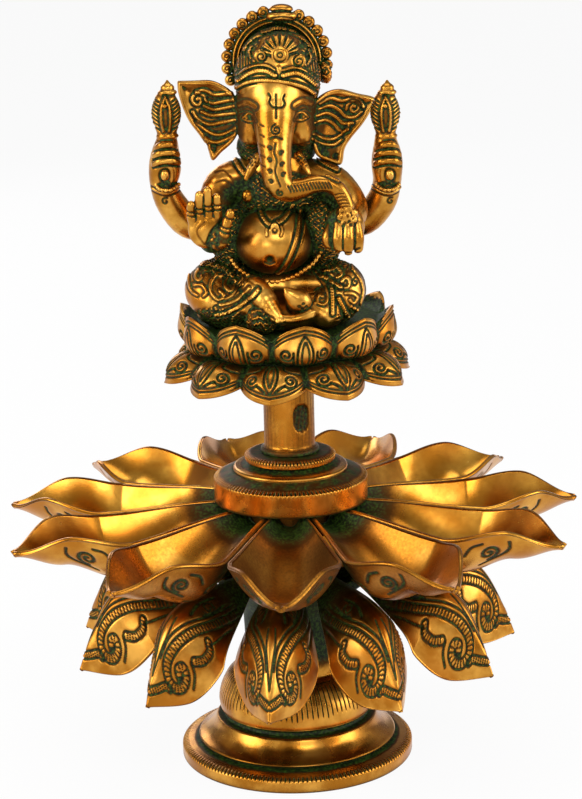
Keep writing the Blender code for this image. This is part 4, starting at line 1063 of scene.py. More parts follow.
            ring = [number[tuple((base - s).T)]
                    for s in (step_a + step_b, step_b, 0 * step_a, step_a)]
            face = np.stack(ring, axis=-1)
            turned_over = leaves if axis != 1 else ~leaves
            face[~turned_over] = face[~turned_over][:, ::-1]
            quads.append(face)
        closed, stain = self.sampled(self.softened(), points), self.sampled(self.stain, points)
        rubbed = 1 - smoothstep(closed, 0.36, 0.475)
        patina = stain * (1 - rubbed) + smoothstep(closed, 0.525, 0.63) - 0.6 * rubbed
        return points, np.vstack(quads), patina

    def sampled(self, grid, points):
        """Values of a grid at points, evened out between its nodes."""
        place = (points - self.low) / self.step
        first = np.clip(np.floor(place).astype(int), 0, self.size - 2)
        share = place - first
        total = np.zeros(len(points))
        for corner in np.ndindex(2, 2, 2):
            weight = np.prod(np.where(corner, share, 1 - share), axis=1)
            total += weight * grid[tuple((first + corner).T)]
        return total

    def finish(self, name, replaced=()):
        points, quads, patina = self.surface()
        points = points + [0, 0, FIGURE_BASE]
        add_piece(name, points, quads, "figure_brass", "figure", replaced, patina)


FIGURE_BASE = SEAT_HIGH[2] - 6.5 + 0.3      # the petal tips rise 6.5 above the platform


def sculpt_body():
    """Crossed legs, belly, chest, the two front arms and what they hold."""
    clay = Clay((-46, -43, -1), (38, 17, 72), 0.42)
    legs_and_seat(clay)
    torso(clay)
    raised_hand(clay)
    holding_hand(clay)
    leg_ornament(clay)
    torso_ornament(clay)
    cut, _, _, z = clay.part((-50, -50, -2), (50, 50, 4))
    clay.field[cut] = np.maximum(clay.field[cut], -z)
    clay.finish("figure_body_looks", ["seated_figure"])


def legs_and_seat(clay):
    clay.ball((-4, -8, 5), (33, 21, 9), 0)
    clay.ball((-4, 2, 12), (23, 13, 14), 3)
    clay.limb([(-12, -1, 14, 10.5), (-23, -7, 15.6, 10.6), (-31, -13.5, 16, 10.4),
               (-28, -20, 12.5, 8.6), (-19, -24, 11, 7), (-10, -25, 11, 5.5)], 1.6)
    clay.limb([(6, -1, 14, 10.5), (15, -7, 15, 10.4), (22.6, -13.5, 15.4, 10.3),
               (21, -19, 11, 8.6), (13, -24, 9.5, 6.6), (6, -26, 11, 5)], 1.6)
    # bare foot, toes of the other foot, the folds under them and the sweet
    clay.limb([(-13, -25, 18, 5.2), (-9.5, -29.5, 15.6, 5.0), (-5.2, -34, 10, 3.4),
               (-3.4, -36, 8.2, 2.2)], 0.8)
    clay.ball((16.5, -25.5, 7), (6.3, 6, 6.2), 0.8)
    clay.limb([(-1.5, -36, 7.6, 1.7), (4, -36.5, 7.4, 2.0), (9.6, -34, 8.8, 2.2)], 0.5)
    clay.ball((-10, -29, 6), (6.5, 6, 6.2), 0.8)
    clay.ball((5, -32.5, 14.2), (5.4, 4.6, 4.8), 0.3)
    clay.limb([(4.5, -33, 14.6, 4.4), (1.5, -34.6, 17.4, 2.5), (-0.4, -35.2, 19.4, 0.8)], 0.6)
    for spot in ((-5.4, -36.6, 7.6), (-3.4, -37.6, 7.0), (-1.6, -37.4, 7.2)):
        clay.ball(spot, (1.1, 1.2, 1.1), 0.2)


def torso(clay):
    clay.ball((-3, 3, 38), (18, 11, 27), 3)
    clay.ball((-3, -3, 54), (19, 12, 12), 3)
    clay.ball((-3, -2, 65), (12, 10, 9), 3)
    clay.ball((-22, -5, 37), (9, 12, 13), 3)
    clay.ball((16.5, -7, 38), (9, 12, 13), 3)
    for place in (((-22, -16, 36), (15, 20, 18), 1.0, 0.45),
                  ((16, -18, 40), (13, 18, 18), 1.0, 0.45),
                  ((-3, -16, 26), (42, 16, 7), 0.75, 0.25),
                  ((-3, -14, 55), (27, 15, 10), 0.85, 0.35)):
        clay.darken(*place)
    clay.ball((-4.3, -10.5, 35), (16.8, 16.5, 13.6), 0.5)
    clay.clean((-4.3, -10.5, 35.3), (17.6, 19.5, 14.4))


def torso_ornament(clay):
    clay.band([(-10, 50), (-8.8, 46.7), (-6.5, 44.2), (-4.1, 43.7)], -8, 0.8)
    clay.band([(-3.2, 44.3), (-0.4, 45.4), (2.5, 47.8), (3.8, 49.8)], -8, 0.8)
    clay.ridge([(-4.8, 45.4), (-6.9, 42.6), (-7, 39.7)], -8, 0.32, 0.35)
    clay.ridge([(-2.8, 45.3), (-0.9, 42.4), (-1.4, 39.6)], -8, 0.32, 0.35)
    clay.ball((-3.8, -24.6, 42.0), (1.9, 0.9, 2.9), 0.3)
    clay.cut_line(spiral((-3.8, 41.8), 0.9, 0.9, 0, 1.0, 12), -8, 0.3, 0.5)
    clay.ridge([(6.9, 46.9), (5.5, 39.4), (2.9, 32.1), (-0.1, 26), (-3, 22.4)], -8, 0.85, 0.95)
    clay.cut_line([(8.3, 45.9), (6.9, 39.2), (4.3, 31.8), (1.2, 25.6)], -8, 0.5, 0.6)
    hollow = [(-6.8, 29.4), (-5.4, 29.4)]

    def navel(x, z):
        dip = np.exp(-((x + 6.1) / 1.4) ** 2 - ((z - 29.8) / 1.5) ** 2)
        return -2.0 * dip, 0.95 * smoothstep(dip, 0.35, 0.7)
    clay.draw(hollow, navel, 4, -8)
    clay.cut_line([(-8.2, 28.6), (-6.1, 27.7), (-4.2, 28.6)], -8, 0.4, 0.4)
    clay.string([(-23.4, -13, 30.8), (-19.4, -19.2, 25.6), (-12.8, -23.8, 22.2),
                 (-4.6, -26.2, 20.9), (2.6, -25.2, 22.3), (7.4, -22.4, 24.4),
                 (11.9, -19.2, 27.2), (15.8, -15.5, 32.4)], 1.05, 2.1)
    clay.ball((-14.4, -12.5, 54), (2.6, 2.4, 2.8), 1.0)
    clay.darken((-14.4, -13, 54), (6, 6, 6), 0.75)
    clay.band([(-20.3, 69.8), (-18, 66.1), (-14.9, 61.9)], -2, 0.9)
    clay.band([(14.4, 67.5), (17.7, 65.8), (22.1, 63.6)], -2, 0.9)
    for x, z in ((-27.5, 63.5), (-27, 60), (-24, 56.5)):
        clay.cut_line([(x, z), (x + 3.6, z + 0.8), (x + 7, z - 2.2)], -2, 0.35, 0.3, 0.5)


def raised_hand(clay):
    """The viewer's left front arm, its open palm towards the viewer."""
    clay.limb([(-17, -4, 60, 8.2), (-24.5, -7, 57.5, 7.6), (-29, -9.5, 49, 6.4),
               (-30.5, -12, 41, 6), (-29.5, -18, 37, 5.2), (-29.8, -23, 39, 4.4)], 1.6)
    clay.ball((-31, -25.5, 43), (7.7, 3.4, 7.9), 0.8, 6)
    clay.ball((-26.2, -27, 39.4), (4.2, 3.0, 5.0), 0.9, 14)
    for rows in (((-36.6, -25.8, 46, 2.0), (-37.3, -27.2, 50, 1.9), (-37.0, -28.4, 53.6, 1.6)),
                 ((-33.4, -26, 47, 2.1), (-33.7, -27.4, 53, 2.0), (-33.5, -28.6, 57.4, 1.75)),
                 ((-30.0, -26, 48, 2.1), (-30.3, -27.4, 54, 2.05), (-30.2, -28.6, 59.2, 1.75)),
                 ((-26.6, -26, 48, 2.0), (-26.6, -27.2, 53, 1.9), (-26.5, -28.2, 56.4, 1.6)),
                 ((-25.4, -27.5, 38, 2.9), (-23.6, -28.8, 44, 2.2), (-21.3, -29.6, 50, 1.75))):
        clay.limb(rows, 0.35)
    for a, b in (((-38.9, 51.2), (-35.3, 50.3)), ((-38.9, 49.4), (-35.3, 48.6)),
                 ((-35.5, 52.0), (-31.9, 51.6)), ((-35.5, 50.1), (-31.9, 49.8)),
                 ((-32.0, 53.0), (-28.2, 52.7)), ((-32.0, 51.0), (-28.2, 50.8)),
                 ((-28.4, 53.4), (-24.8, 53.0)), ((-28.4, 51.4), (-24.8, 51.1)),
                 ((-26.0, 45.4), (-21.6, 43.6)), ((-25.6, 43.2), (-21.6, 41.6)),
                 ((-23.6, 48.8), (-20.0, 47.2))):
        clay.cut_line([a, ((a[0] + b[0]) / 2, (a[1] + b[1]) / 2 - 0.3), b], -20, 0.36, 0.5)
    clay.cut_line([(-31.6, 46.6), (-35.0, 42.6), (-32.4, 37.4)], -20, 0.5, 0.3, 0.3)
    clay.cut_line([(-31.2, 37.4), (-29.0, 42.8), (-25.2, 46)], -20, 0.55, 0.55, 0.8)
    for x, z in ((-29.3, 40.4), (-27.9, 39.2), (-29.0, 37.8), (-27.3, 41.4), (-27.0, 37.4)):
        clay.curl((x, z), 0.5, 0, 0.9, -20, 0.35)


def holding_hand(clay):
    """The viewer's right front arm; the hand hangs over the knee and holds sweets that
    the trunk reaches for."""
    clay.limb([(11, -3, 59, 8.2), (19.5, -6, 57.5, 7.6), (26, -10, 52, 6.6),
               (28.2, -16, 47, 6.0), (26, -23, 45, 5.4)], 1.6)
    clay.ball((24.4, -25.5, 42.6), (8.0, 5.0, 8.2), 0.8)
    for rows in (((18.9, -27.6, 43, 2.2), (17.3, -29.4, 39, 2.3), (18.0, -29.2, 35.6, 2.1)),
                 ((21.9, -29, 44, 2.4), (21.4, -31.2, 39, 2.4), (21.6, -30.4, 34.8, 2.2)),
                 ((25.6, -29, 44, 2.4), (25.5, -31.4, 39, 2.45), (25.4, -30.6, 34.0, 2.25)),
                 ((29.0, -27.8, 43.4, 2.3), (29.6, -29.4, 39, 2.4), (29.4, -28.8, 34.4, 2.2))):
        clay.limb(rows, 0.3)
    clay.cut_line([(17.0, 34.8), (21.5, 33.4), (26, 33.0), (30, 34.6)], -20, 0.4, 0.5)
    for x, z, r in ((23.2, 50.0, 1.5), (25.9, 50.6, 1.5), (28.3, 49.0, 1.4), (22.6, 47.4, 1.5),
                    (25.2, 48.0, 1.6), (27.9, 46.4, 1.5), (24.0, 45.2, 1.4), (26.6, 44.2, 1.3)):
        clay.ball((x, -30.6, z), (r, r, r), 0.25)
        clay.curl((x, z), 0.6, 40 * x, 0.8, -20, 0.4)
    clay.ball((25.2, -27.5, 47.5), (4.6, 4.0, 4.6), 0.6)


def leg_ornament(clay):
    """Scrolls, beaded hems and folds of the cloth over the legs."""
    for hem in ([(-11.2, 19.1), (-14.5, 15.4), (-18.7, 12.2), (-23.6, 9.5), (-28.5, 7.9)],
                [(-34.7, 27), (-29.8, 26.8), (-24.6, 24.6), (-21.4, 22.1)],
                [(18.5, 19.5), (18.8, 13.9), (18.7, 7.9)],
                [(21.3, 13.6), (23.3, 9.4), (25.2, 4.8)],
                [(14.1, 21.3), (18.2, 20), (22.2, 17.8)]):
        clay.band(hem, -4, 0.85, 0.95)
    clay.ridge([(-14.8, 19.6), (-18.2, 15.9), (-22.3, 13.6), (-26.8, 12.4)], -4, 0.5, 0.5)
    clay.ridge([(-17.5, 20.6), (-20.2, 17.9), (-23.1, 15.6), (-27.2, 14.6)], -4, 0.4, 0.4)
    for scroll in ([(-28.5, 27.8), (-32.6, 27.5), (-35.5, 25.1), (-36.8, 22.7), (-35.3, 21.4),
                    (-34, 23)],
                   [(-17.1, 26), (-20, 24.5), (-22.9, 22.5), (-24.6, 19.6), (-22.2, 17.9),
                    (-20.1, 19.9), (-22.1, 21.2)],
                   [(-27.7, 23.8), (-30.2, 21), (-30.4, 17.7), (-27.6, 14.7), (-25.1, 16.3),
                    (-26.7, 18)],
                   [(18.2, 20), (22.2, 17.8), (25.1, 17.7), (25.9, 20.2), (23.9, 21.1),
                    (22.6, 19.4)],
                   [(12.4, 22.4), (14.8, 19.4), (17.2, 15.2), (15.5, 11.9), (12.6, 12.8),
                    (13.1, 15.3), (14.7, 14.9)],
                   [(24.3, 15.4), (27.1, 14.9), (29.2, 12.8), (27.5, 10.8), (25.9, 12.5)],
                   [(15, 23), (18.3, 23.7), (21.2, 24.5), (22.8, 22.4), (20.7, 21.2)],
                   [(-38.9, 25), (-39.8, 21.7), (-38.8, 17.5), (-36, 15.8)],
                   [(-37.3, 19.7), (-34, 20), (-32.1, 17.4), (-33.4, 15.8)],
                   [(27.4, 24.1), (30.6, 19.9), (31.7, 14.8), (30.4, 9.4)]):
        clay.ridge(scroll, -3, 0.5, 0.55)
    clay.curl((28.2, 19.0), 1.6, 90, 1.1, -3)
    clay.curl((-28.2, 10.8), 1.8, 30, 1.1, -3)
    for place in (((-26, -24, 5), (16, 16, 8), 0.8, 0.3),
                  ((-8, -30, 5), (9, 12, 8), 0.7, 0.3),
                  ((24, -18, 5), (12, 16, 7), 0.75, 0.3),
                  ((2, -24, 20), (10, 8, 5), 0.8, 0.2)):
        clay.darken(*place)
    for fold in ([(-13.8, 9.9), (-10.6, 10.6), (-7.5, 6.8)],
                 [(-13.6, 7.2), (-10.2, 8.2), (-7.9, 4.6)],
                 [(-13.0, 4.8), (-10.2, 5.8), (-8.6, 2.8)]):
        clay.ridge(fold, -20, 0.5, 0.5)
    clay.cut_line([(-0.9, 19.4), (-1.2, 15.9), (0.7, 11.6)], -28, 0.4, 0.4, 0.6)
    for x, z in ((5.2, 12.6), (6.8, 13.6), (6.4, 11.6), (7.9, 12.2)):
        clay.curl((x, z), 0.5, 0, 0.9, -28, 0.35)
    clay.beads([(26.2, 9.6), (28.4, 8.0), (29.0, 5.6)], 0.9, 1.7)
    clay.beads([(11.6, 12.4), (11.0, 10.0)], 0.8, 1.6)


def rear_arm(side, rows, bud, name):
    """A rear arm that holds up a bud. side is -1 for the viewer's left."""
    x0, x1 = sorted((side * 17, side * 58))
    clay = Clay((x0, -22, 27), (x1, 10, 104), 0.38)
    clay.limb(rows, 1.0)
    bx, by, bz = bud
    clay.limb([(bx, by, bz - 13, 4.4), (bx, by, bz - 9.5, 3.9), (bx, by, bz - 7, 4.2)], 0.6)
    clay.ball(bud, (6.3, 5.4, 9.2), 0.5)
    clay.ball((bx + 0.8, by, bz + 8.4), (3.9, 3.6, 1.5), 0.2)
    clay.ball((bx + 0.9, by, bz + 10.2), (2.8, 2.7, 1.9), 0.2)
    clay.limb([(bx + 0.9, by, bz + 11, 1.6), (bx + 0.9, by, bz + 13.0, 0.5)], 0.4)
    heart = [(bx, bz + 7.0), (bx - 1.7, bz + 2.5), (bx - 1.9, bz - 2.5), (bx - 1.2, bz - 6.8)]
    other = [(2 * bx - x, z) for x, z in heart]
    clay.ridge(heart, by, 0.5, 0.75)
    clay.ridge(other, by, 0.5, 0.75)
    for drop in np.arange(-5.6, 6.0, 1.6):
        for way in (-1, 1):
            clay.cut_line([(bx + way * 2.7, bz + drop - 0.6), (bx + way * 4.3, bz + drop + 0.3),
                           (bx + way * 6.0, bz + drop + 1.7)], by + 1, 0.42, 0.7)
    clay.ball((bx - 0.2, by - 5.6, bz + 3.4), (0.9, 0.8, 0.9), 0.2)
    # a collar, fingers closed round the stem, the thumb in the palm and a bracelet
    hx = bx + side * 0.6
    clay.ball((bx + 0.2, by, bz - 9.2), (4.6, 4.4, 1.5), 0.4)
    clay.ball((hx, by + 1.0, bz - 20.5), (5.9, 5.4, 11), 1.2)
    for drop, half, thick in ((-12.2, 3.3, 1.5), (-15.4, 4.2, 1.6), (-18.8, 4.5, 1.6)):
        clay.limb([(hx - half, by - 1.8, bz + drop - 1.6, thick),
                   (hx - half / 2, by - 4.0, bz + drop - 0.2, thick),
                   (hx + half / 2, by - 4.0, bz + drop, thick),
                   (hx + half, by - 1.8, bz + drop - 1.2, thick)], 0.4)
        clay.cut_line([(hx - half - 1, bz + drop - 3.0), (hx, bz + drop - 1.8),
                       (hx + half + 1, bz + drop - 2.8)], -6, 0.4, 0.5, 1.0)

    def recess(x, z):
        dip = np.exp(-((x - hx - side * 1.0) / 2.4) ** 2 - ((z - bz + 25.2) / 3.2) ** 2)
        return -2.2 * dip, smoothstep(dip, 0.2, 0.7)
    clay.draw([(hx, bz - 24)], recess, 7, -6)
    clay.ball((hx + side * 0.6, by - 5.0, bz - 24.4), (1.7, 1.5, 2.3), 0.3)
    clay.darken((hx, by - 4, bz - 29.5), (6, 5, 3), 0.8, 0.2)
    clay.string([(hx + side * 4.4, by - 0.5, bz - 29.2), (hx + side * 2.4, by - 4.2, bz - 30.4),
                 (hx - side * 2.0, by - 4.4, bz - 30.6), (hx - side * 4.6, by - 0.8, bz - 29.0)],
                0.95, 1.7)
    clay.ridge([(hx + side * 6.6, bz - 30.6), (hx, bz - 32.8), (hx - side * 6.4, bz - 30.4)],
               -1, 0.5, 0.5)
    clay.curl((hx + side * 1.0, bz - 36.0), 1.6, 60, 1.0, -1, 0.35)
    clay.darken((bx, by, bz), (9, 9, 11), 0.3)
    clay.finish(name)


def sculpt_rear_arms():
    rear_arm(-1, [(-20, 3, 50, 6.5), (-30, 1.5, 41.5, 6.7), (-39, -1, 41.5, 6.6),
                  (-45.8, -4, 50, 6.2), (-48.8, -7, 59, 5.5), (-48.3, -9, 68, 5.8),
                  (-46.8, -10.5, 76, 4.4)], (-46.4, -11, 88.2), "figure_left_arm_looks")
    rear_arm(1, [(17, 3, 50, 6.5), (25, 1.5, 41.5, 6.7), (33, -1, 41, 6.4),
                 (39.8, -4, 48.5, 6.2), (42.4, -7, 57, 5.8), (42.4, -9, 66, 6.2),
                 (42, -10.5, 74.5, 4.6)], (42, -11, 86), "figure_right_arm_looks")


EAR_LEFT = [(-42, 99.6), (-36, 99.8), (-28, 100.0), (-22, 97.4), (-18.4, 94), (-16.6, 87),
            (-17.4, 80), (-20.2, 75), (-24.6, 71), (-28.6, 67.4), (-30.5, 72.5), (-33.5, 77.5),
            (-37.5, 83), (-40, 88.5), (-41.8, 95)]
EAR_RIGHT = [(12.6, 90.5), (18, 94.2), (24, 95.2), (31, 93.0), (38.6, 90.4), (36.6, 85.5),
             (33, 80.2), (28.5, 75.2), (25.6, 70.8), (24, 64.5), (18.6, 66.0), (13.6, 69.5),
             (12, 77), (12, 84)]


def sculpt_head():
    """Face, trunk, tusks and ears."""
    clay = Clay((-45, -37, 44), (41, 13, 104), 0.36)
    clay.ball((-2.1, -4.5, 90), (16.6, 15.8, 16.5), 0)
    clay.ball((-2.1, 0, 78), (12, 10, 16), 2)
    clay.ball((-2.1, -1, 72.5), (16.5, 9.5, 11), 2.5)
    clay.ball((-12.4, -8, 81), (5.6, 7.6, 9), 2)
    clay.ball((8.2, -8, 80.5), (5.6, 7.6, 9), 2)
    for place in (((-17, -8, 86), (7, 10, 14), 0.42, 0.0),
                  ((13, -8, 86), (7, 10, 14), 0.42, 0.0),
                  ((-15, -8, 69), (10, 12, 9), 1.0, 0.15),
                  ((11, -8, 69), (10, 12, 9), 1.0, 0.15)):
        clay.darken(*place)
    clay.ball((-2.2, -12.5, 94), (10.5, 9.6, 9), 3)
    for way, x, z in ((-1, -12.9, 86.2), (1, 8.0, 86.2)):
        clay.ball((x, -14.2, z), (2.6, 2.2, 1.7), 0.4)
        clay.ridge([(x + way * 4.2, z + 4.4), (x + way * 0.8, z + 6.0), (x - way * 2.2, z + 5.0)],
                   -6, 0.9, 0.3)
        clay.ridge([(x + way * 3.0, z - 0.5), (x + way * 0.8, z + 1.5), (x - way * 1.4, z + 1.3),
                    (x - way * 2.8, z - 0.6)], -6, 0.36, 0.45)
        clay.ridge([(x + way * 2.8, z - 0.8), (x, z - 1.6), (x - way * 2.6, z - 0.8)],
                   -6, 0.34, 0.35)
        clay.cut_line([(x + way * 3.8, z + 1.6), (x + way * 1.0, z + 2.9),
                       (x - way * 2.2, z + 2.2)], -6, 0.32, 0.35, 0.7)
        clay.curl((x - way * 0.2, z), 0.7, 90, 1.0, -6, 0.3)
    trunk(clay)
    ears(clay)
    clay.finish("figure_head_looks")


def trunk(clay):
    clay.limb([(-2.4, -9, 97, 11.0), (-2.6, -11.5, 91.5, 9.5)], 4)
    clay.limb([(-2.4, -13.2, 92.5, 9.6), (-2.6, -16.4, 88, 9.1), (-2.8, -19.2, 83, 8.1),
               (-2.9, -22.2, 77.5, 7.1), (-2.8, -25, 71.5, 6.4), (-2.6, -26.6, 66, 6.1),
               (-1.4, -27.4, 61, 5.7),
               (2.0, -27.8, 58.4, 4.8), (7, -28, 58.9, 4.0), (12, -28, 60.4, 3.5),
               (17, -28, 60.6, 3.3), (21.4, -28, 58.6, 3.3), (24, -28.4, 54.8, 3.2),
               (25.4, -28.8, 51.6, 2.9)], 1.2)
    clay.limb([(-9.5, -15, 70, 2.2), (-13.0, -17, 65, 1.7), (-14.8, -18.4, 62, 1.0)], 0.5)
    clay.limb([(6.6, -14, 70, 2.0), (9.4, -17, 65.5, 1.4), (10.6, -18.4, 63.4, 0.8)], 0.5)
    clay.darken((-13, -12, 68), (6, 8, 7), 0.7, 0.2)
    clay.darken((9, -12, 68), (6, 8, 6), 0.7, 0.2)
    fork = ([(-4.9, 96.4), (-4.0, 95.0), (-4.6, 93.2), (-3.4, 91.4), (-1.9, 91.0)],
            [(1.5, 95.7), (0.9, 94.2), (1.5, 92.6), (0.4, 91.0), (-1.9, 91.0)],
            [(-1.9, 95.9), (-2.0, 91.0), (-2.1, 87.2)])
    for line in fork:
        clay.cut_line(line, -14, 0.34, 0.65, 1.0)
    clay.cut_line(spiral((-2.2, 82.6), 2.1, 0.4, 100, 1.5, 10), -14, 0.34, 0.55, 1.0)
    clay.cut_line([(-4.6, 79.4), (-2.4, 80.0), (0.0, 79.0)], -14, 0.34, 0.5, 1.0)
    # a vine down the middle, then ticks along the part that runs across
    vine = [(-2.6, 77.4), (-3.2, 74), (-2.2, 70.6), (-3.0, 67), (-2.0, 63.4), (-1.0, 60.6)]
    clay.cut_line(vine, -20, 0.3, 0.4, 0.8)
    for x, z, way in ((-3.4, 75.6, -1), (-1.8, 73.6, 1), (-3.6, 71.0, -1), (-1.6, 69.2, 1),
                      (-3.6, 66.6, -1), (-1.2, 65.2, 1), (-3.4, 62.6, -1)):
        clay.curl((x + way * 1.3, z), 1.0, 90 - way * 60, way * 0.9, -20, 0.4)
    clay.curl((-1.2, 58.0), 1.5, 120, 1.2, -20, 0.5)
    for x in np.arange(2.6, 19.6, 1.25):
        z = 60.2 if x > 11 else 59.2 + 0.09 * (x - 2)
        clay.cut_line([(x - 0.7, z + 1.3), (x, z + 0.1), (x + 0.5, z - 1.1)], -20, 0.34, 0.45, 0.9)
    for z in np.arange(57.0, 49.0, -1.3):
        x = 22.2 + (57.5 - z) * 0.42
        clay.cut_line([(x - 1.6, z - 0.7), (x, z), (x + 1.8, z - 0.2)], -20, 0.3, 0.3, 0.6)
    for z, bend in ((84.5, 0.6), (80.6, 0.7), (76.8, 0.7), (72.8, 0.7), (69, 0.7)):
        clay.cut_line([(-8.8, z), (-7.0, z - bend)], -12, 0.3, 0.3, 0.5)


def ears(clay):
    clay.plate(EAR_LEFT, lambda x: np.interp(x, [-42, -17], [1.5, -7.0]), 1.2, 1.0, 1.6, 0.5)
    clay.plate(EAR_RIGHT, lambda x: np.interp(x, [13, 38], [-7.0, 1.5]), 1.2, 1.0, 1.6, 0.5)
    for line in ([(-30.8, 92), (-27.6, 90.7), (-23.9, 91.4), (-19.4, 92.5)],
                 [(-34.4, 95.2), (-30.7, 95.9), (-27.1, 94.2), (-23.5, 94.5), (-19.8, 95.0)],
                 [(-31.3, 89.6), (-27.7, 88.2), (-24, 88.6), (-19.4, 89.9)],
                 [(-32.2, 87.1), (-28.6, 85.8), (-24.5, 86.1), (-19, 87)],
                 [(-35.9, 87.2), (-33.6, 83.9), (-29.1, 82.2), (-24.6, 82.9), (-19, 84.4)],
                 [(-34.4, 83.1), (-30.8, 79.8), (-26.4, 78), (-21.9, 79.1), (-19, 81.1)],
                 [(-30.9, 76.6), (-27.7, 74.9), (-23.6, 76), (-20.4, 78)],
                 [(15.9, 89.8), (20, 91.8), (24.5, 90.4), (28.2, 90.8), (31.4, 90.3),
                  (33.4, 87.4)],
                 [(15.4, 87.9), (19.9, 88.6), (23.6, 86.5), (26, 84), (29.6, 83.5),
                  (32.5, 85.5)],
                 [(14.6, 85.1), (18.7, 85.8), (22.3, 83.7), (25.1, 81.2), (28.8, 81.1)],
                 [(14.1, 82.7), (18.2, 83), (21.4, 80.9), (23.8, 78.3), (27.1, 78.3)],
                 [(13.2, 78.2), (16.8, 75.7), (20.9, 75.1), (24.6, 77.1), (27.5, 79.9)],
                 [(12.7, 76.3), (16.3, 73.8), (20.8, 72.8), (24.1, 74.8)],
                 [(14.1, 65.7), (17.8, 64.4), (22.2, 62.2)]):
        clay.ridge(line, 6, 0.62, 0.62)
    clay.ridge(spiral((-33.7, 91.8), 3.3, 0.5, -10, 1.4, 10), 6, 0.6, 0.6)
    clay.ridge(spiral((29.6, 87.2), 3.1, 0.5, 190, -1.4, 10), 6, 0.6, 0.6)
    for centre, radius in (((-27.8, 72.6), 1.5), ((-31.0, 73.4), 1.0), ((17.4, 70.2), 2.1),
                           ((21.6, 68.0), 1.1)):
        clay.curl(centre, radius, 40, 1.2, 6, 0.5)
    for centre, radii in (((-27, -6, 90), (8, 12, 4)), ((-24, -7, 79), (8, 12, 4)),
                          ((20, -6, 84), (8, 12, 4)), ((18, -7, 71), (6, 12, 4))):
        clay.darken(centre, radii, 0.35, 0.0)


def sculpt_crown():
    """Crown with rosette and fan, and the beaded halo behind it."""
    clay = Clay((-26, -25, 88), (27, 16, 132), 0.32)
    clay.ball((-1.2, -3.6, 100), (17.5, 17.0, 20.2), 0)
    cut, x, y, z = clay.part((-30, -30, 80), (30, 20, 130))
    arch = 100 - 7.4 * ((x + 1.8) / 15.6) ** 2 - 0.4 * np.maximum(y + 2, 0)
    clay.field[cut] = np.maximum(clay.field[cut], (arch - z) * 0.9)
    brim = [(-18.3, 97.2), (-15, 99.6), (-9.8, 101.2), (-4.2, 101.4), (0.2, 100.9), (5.4, 99.6),
            (10.2, 97.5), (13.6, 94.6)]
    clay.band(brim, -2, 0.75, 0.8)
    for swag in ([(-17.4, 100.4), (-13.7, 103.4), (-9.2, 105.2), (-4.9, 104.9), (-2.2, 103.2)],
                 [(1.2, 103.2), (6.3, 103.9), (10.6, 101.8), (14.6, 98.0)]):
        clay.band(swag, -2, 0.95, 1.0)
        clay.ridge([(x, z + 2.0) for x, z in swag], -2, 0.5, 0.6)
    fan = [(0.1 + 4.0 * math.cos(math.radians(a)), 111.2 + 4.0 * math.sin(math.radians(a)))
           for a in range(10, 181, 34)]

    def rays(x, z):
        dx, dz = x - 0.1, z - 111.0
        away = np.hypot(dx, dz)
        angle = np.degrees(np.arctan2(dz, dx))
        reach = 7.6 + 0.7 * np.abs(np.cos(np.radians(angle) * 8))
        inside = (1 - smoothstep(away, reach - 0.5, reach)) * smoothstep(angle, 8, 14)
        inside = inside * (1 - smoothstep(angle, 168, 174))
        ray = 0.5 + 0.5 * np.cos(np.radians(angle) * 16)
        slit = smoothstep(ray, 0.55, 0.9) * smoothstep(away, 3.4, 4.4)
        return inside * (1.5 - 0.9 * slit), inside * 0.85 * slit
    clay.draw(fan, rays, 6.5, -4)
    clay.ball((0.1, -18.3, 111.2), (3.5, 1.5, 3.5), 0.3)
    clay.cut_line(spiral((0.1, 111.2), 1.0, 1.0, 0, 1.0, 14), -14, 0.3, 0.5)
    clay.cut_line(spiral((0.1, 111.2), 2.6, 2.6, 0, 1.0, 22), -14, 0.28, 0.3, 0.7)
    clay.ball((-0.4, -19.6, 104.6), (1.3, 1.1, 2.6), 0.25)
    for centre, way in (((-7.3, 110.6), -1), ((7.6, 108.4), 1)):
        clay.ball((centre[0], -16.2, centre[1]), (3.2, 1.8, 2.9), 0.5)
        clay.cut_line(spiral(centre, 2.4, 0.6, 90, way * 1.4, 12), -10, 0.36, 0.6)
        clay.ridge([(centre[0] + way * 3.0, centre[1] - 2.0),
                    (centre[0] + way * 5.0, centre[1] + 0.6),
                    (centre[0] + way * 4.2, centre[1] + 3.6)], -4, 0.5, 0.6)
    for k in range(5):
        clay.cut_line([(-15.9 + 1.15 * k, 111.8 - 0.1 * k), (-16.1 + 1.15 * k, 105.4 + 0.5 * k)],
                      3, 0.34, 0.55)
        clay.cut_line([(10.4 + 1.15 * k, 110.6 - 1.0 * k), (11.4 + 1.1 * k, 103.4 - 0.9 * k)],
                      3, 0.34, 0.55)
    for line in ([(-14.6, 112.6), (-11.4, 116.4), (-7.4, 118.6), (-3.6, 119.6)],
                 [(4.4, 119.3), (8.3, 117.4), (11.7, 114.2), (13.9, 110.8)]):
        clay.ridge(line, 4, 0.6, 0.7)
    clay.band([(-7.0, 119.6), (-3.6, 120.4), (0.4, 120.7), (4.8, 120.0), (8.2, 118.8)],
              8, 0.7, 1.1)
    for centre in ((-13, -6, 115), (12, -6, 112), (0, -4, 121), (-17, -3, 102), (15, -3, 101)):
        clay.darken(centre, (8, 12, 7), 0.75, 0.25)
    halo(clay)
    clay.finish("figure_crown_looks")


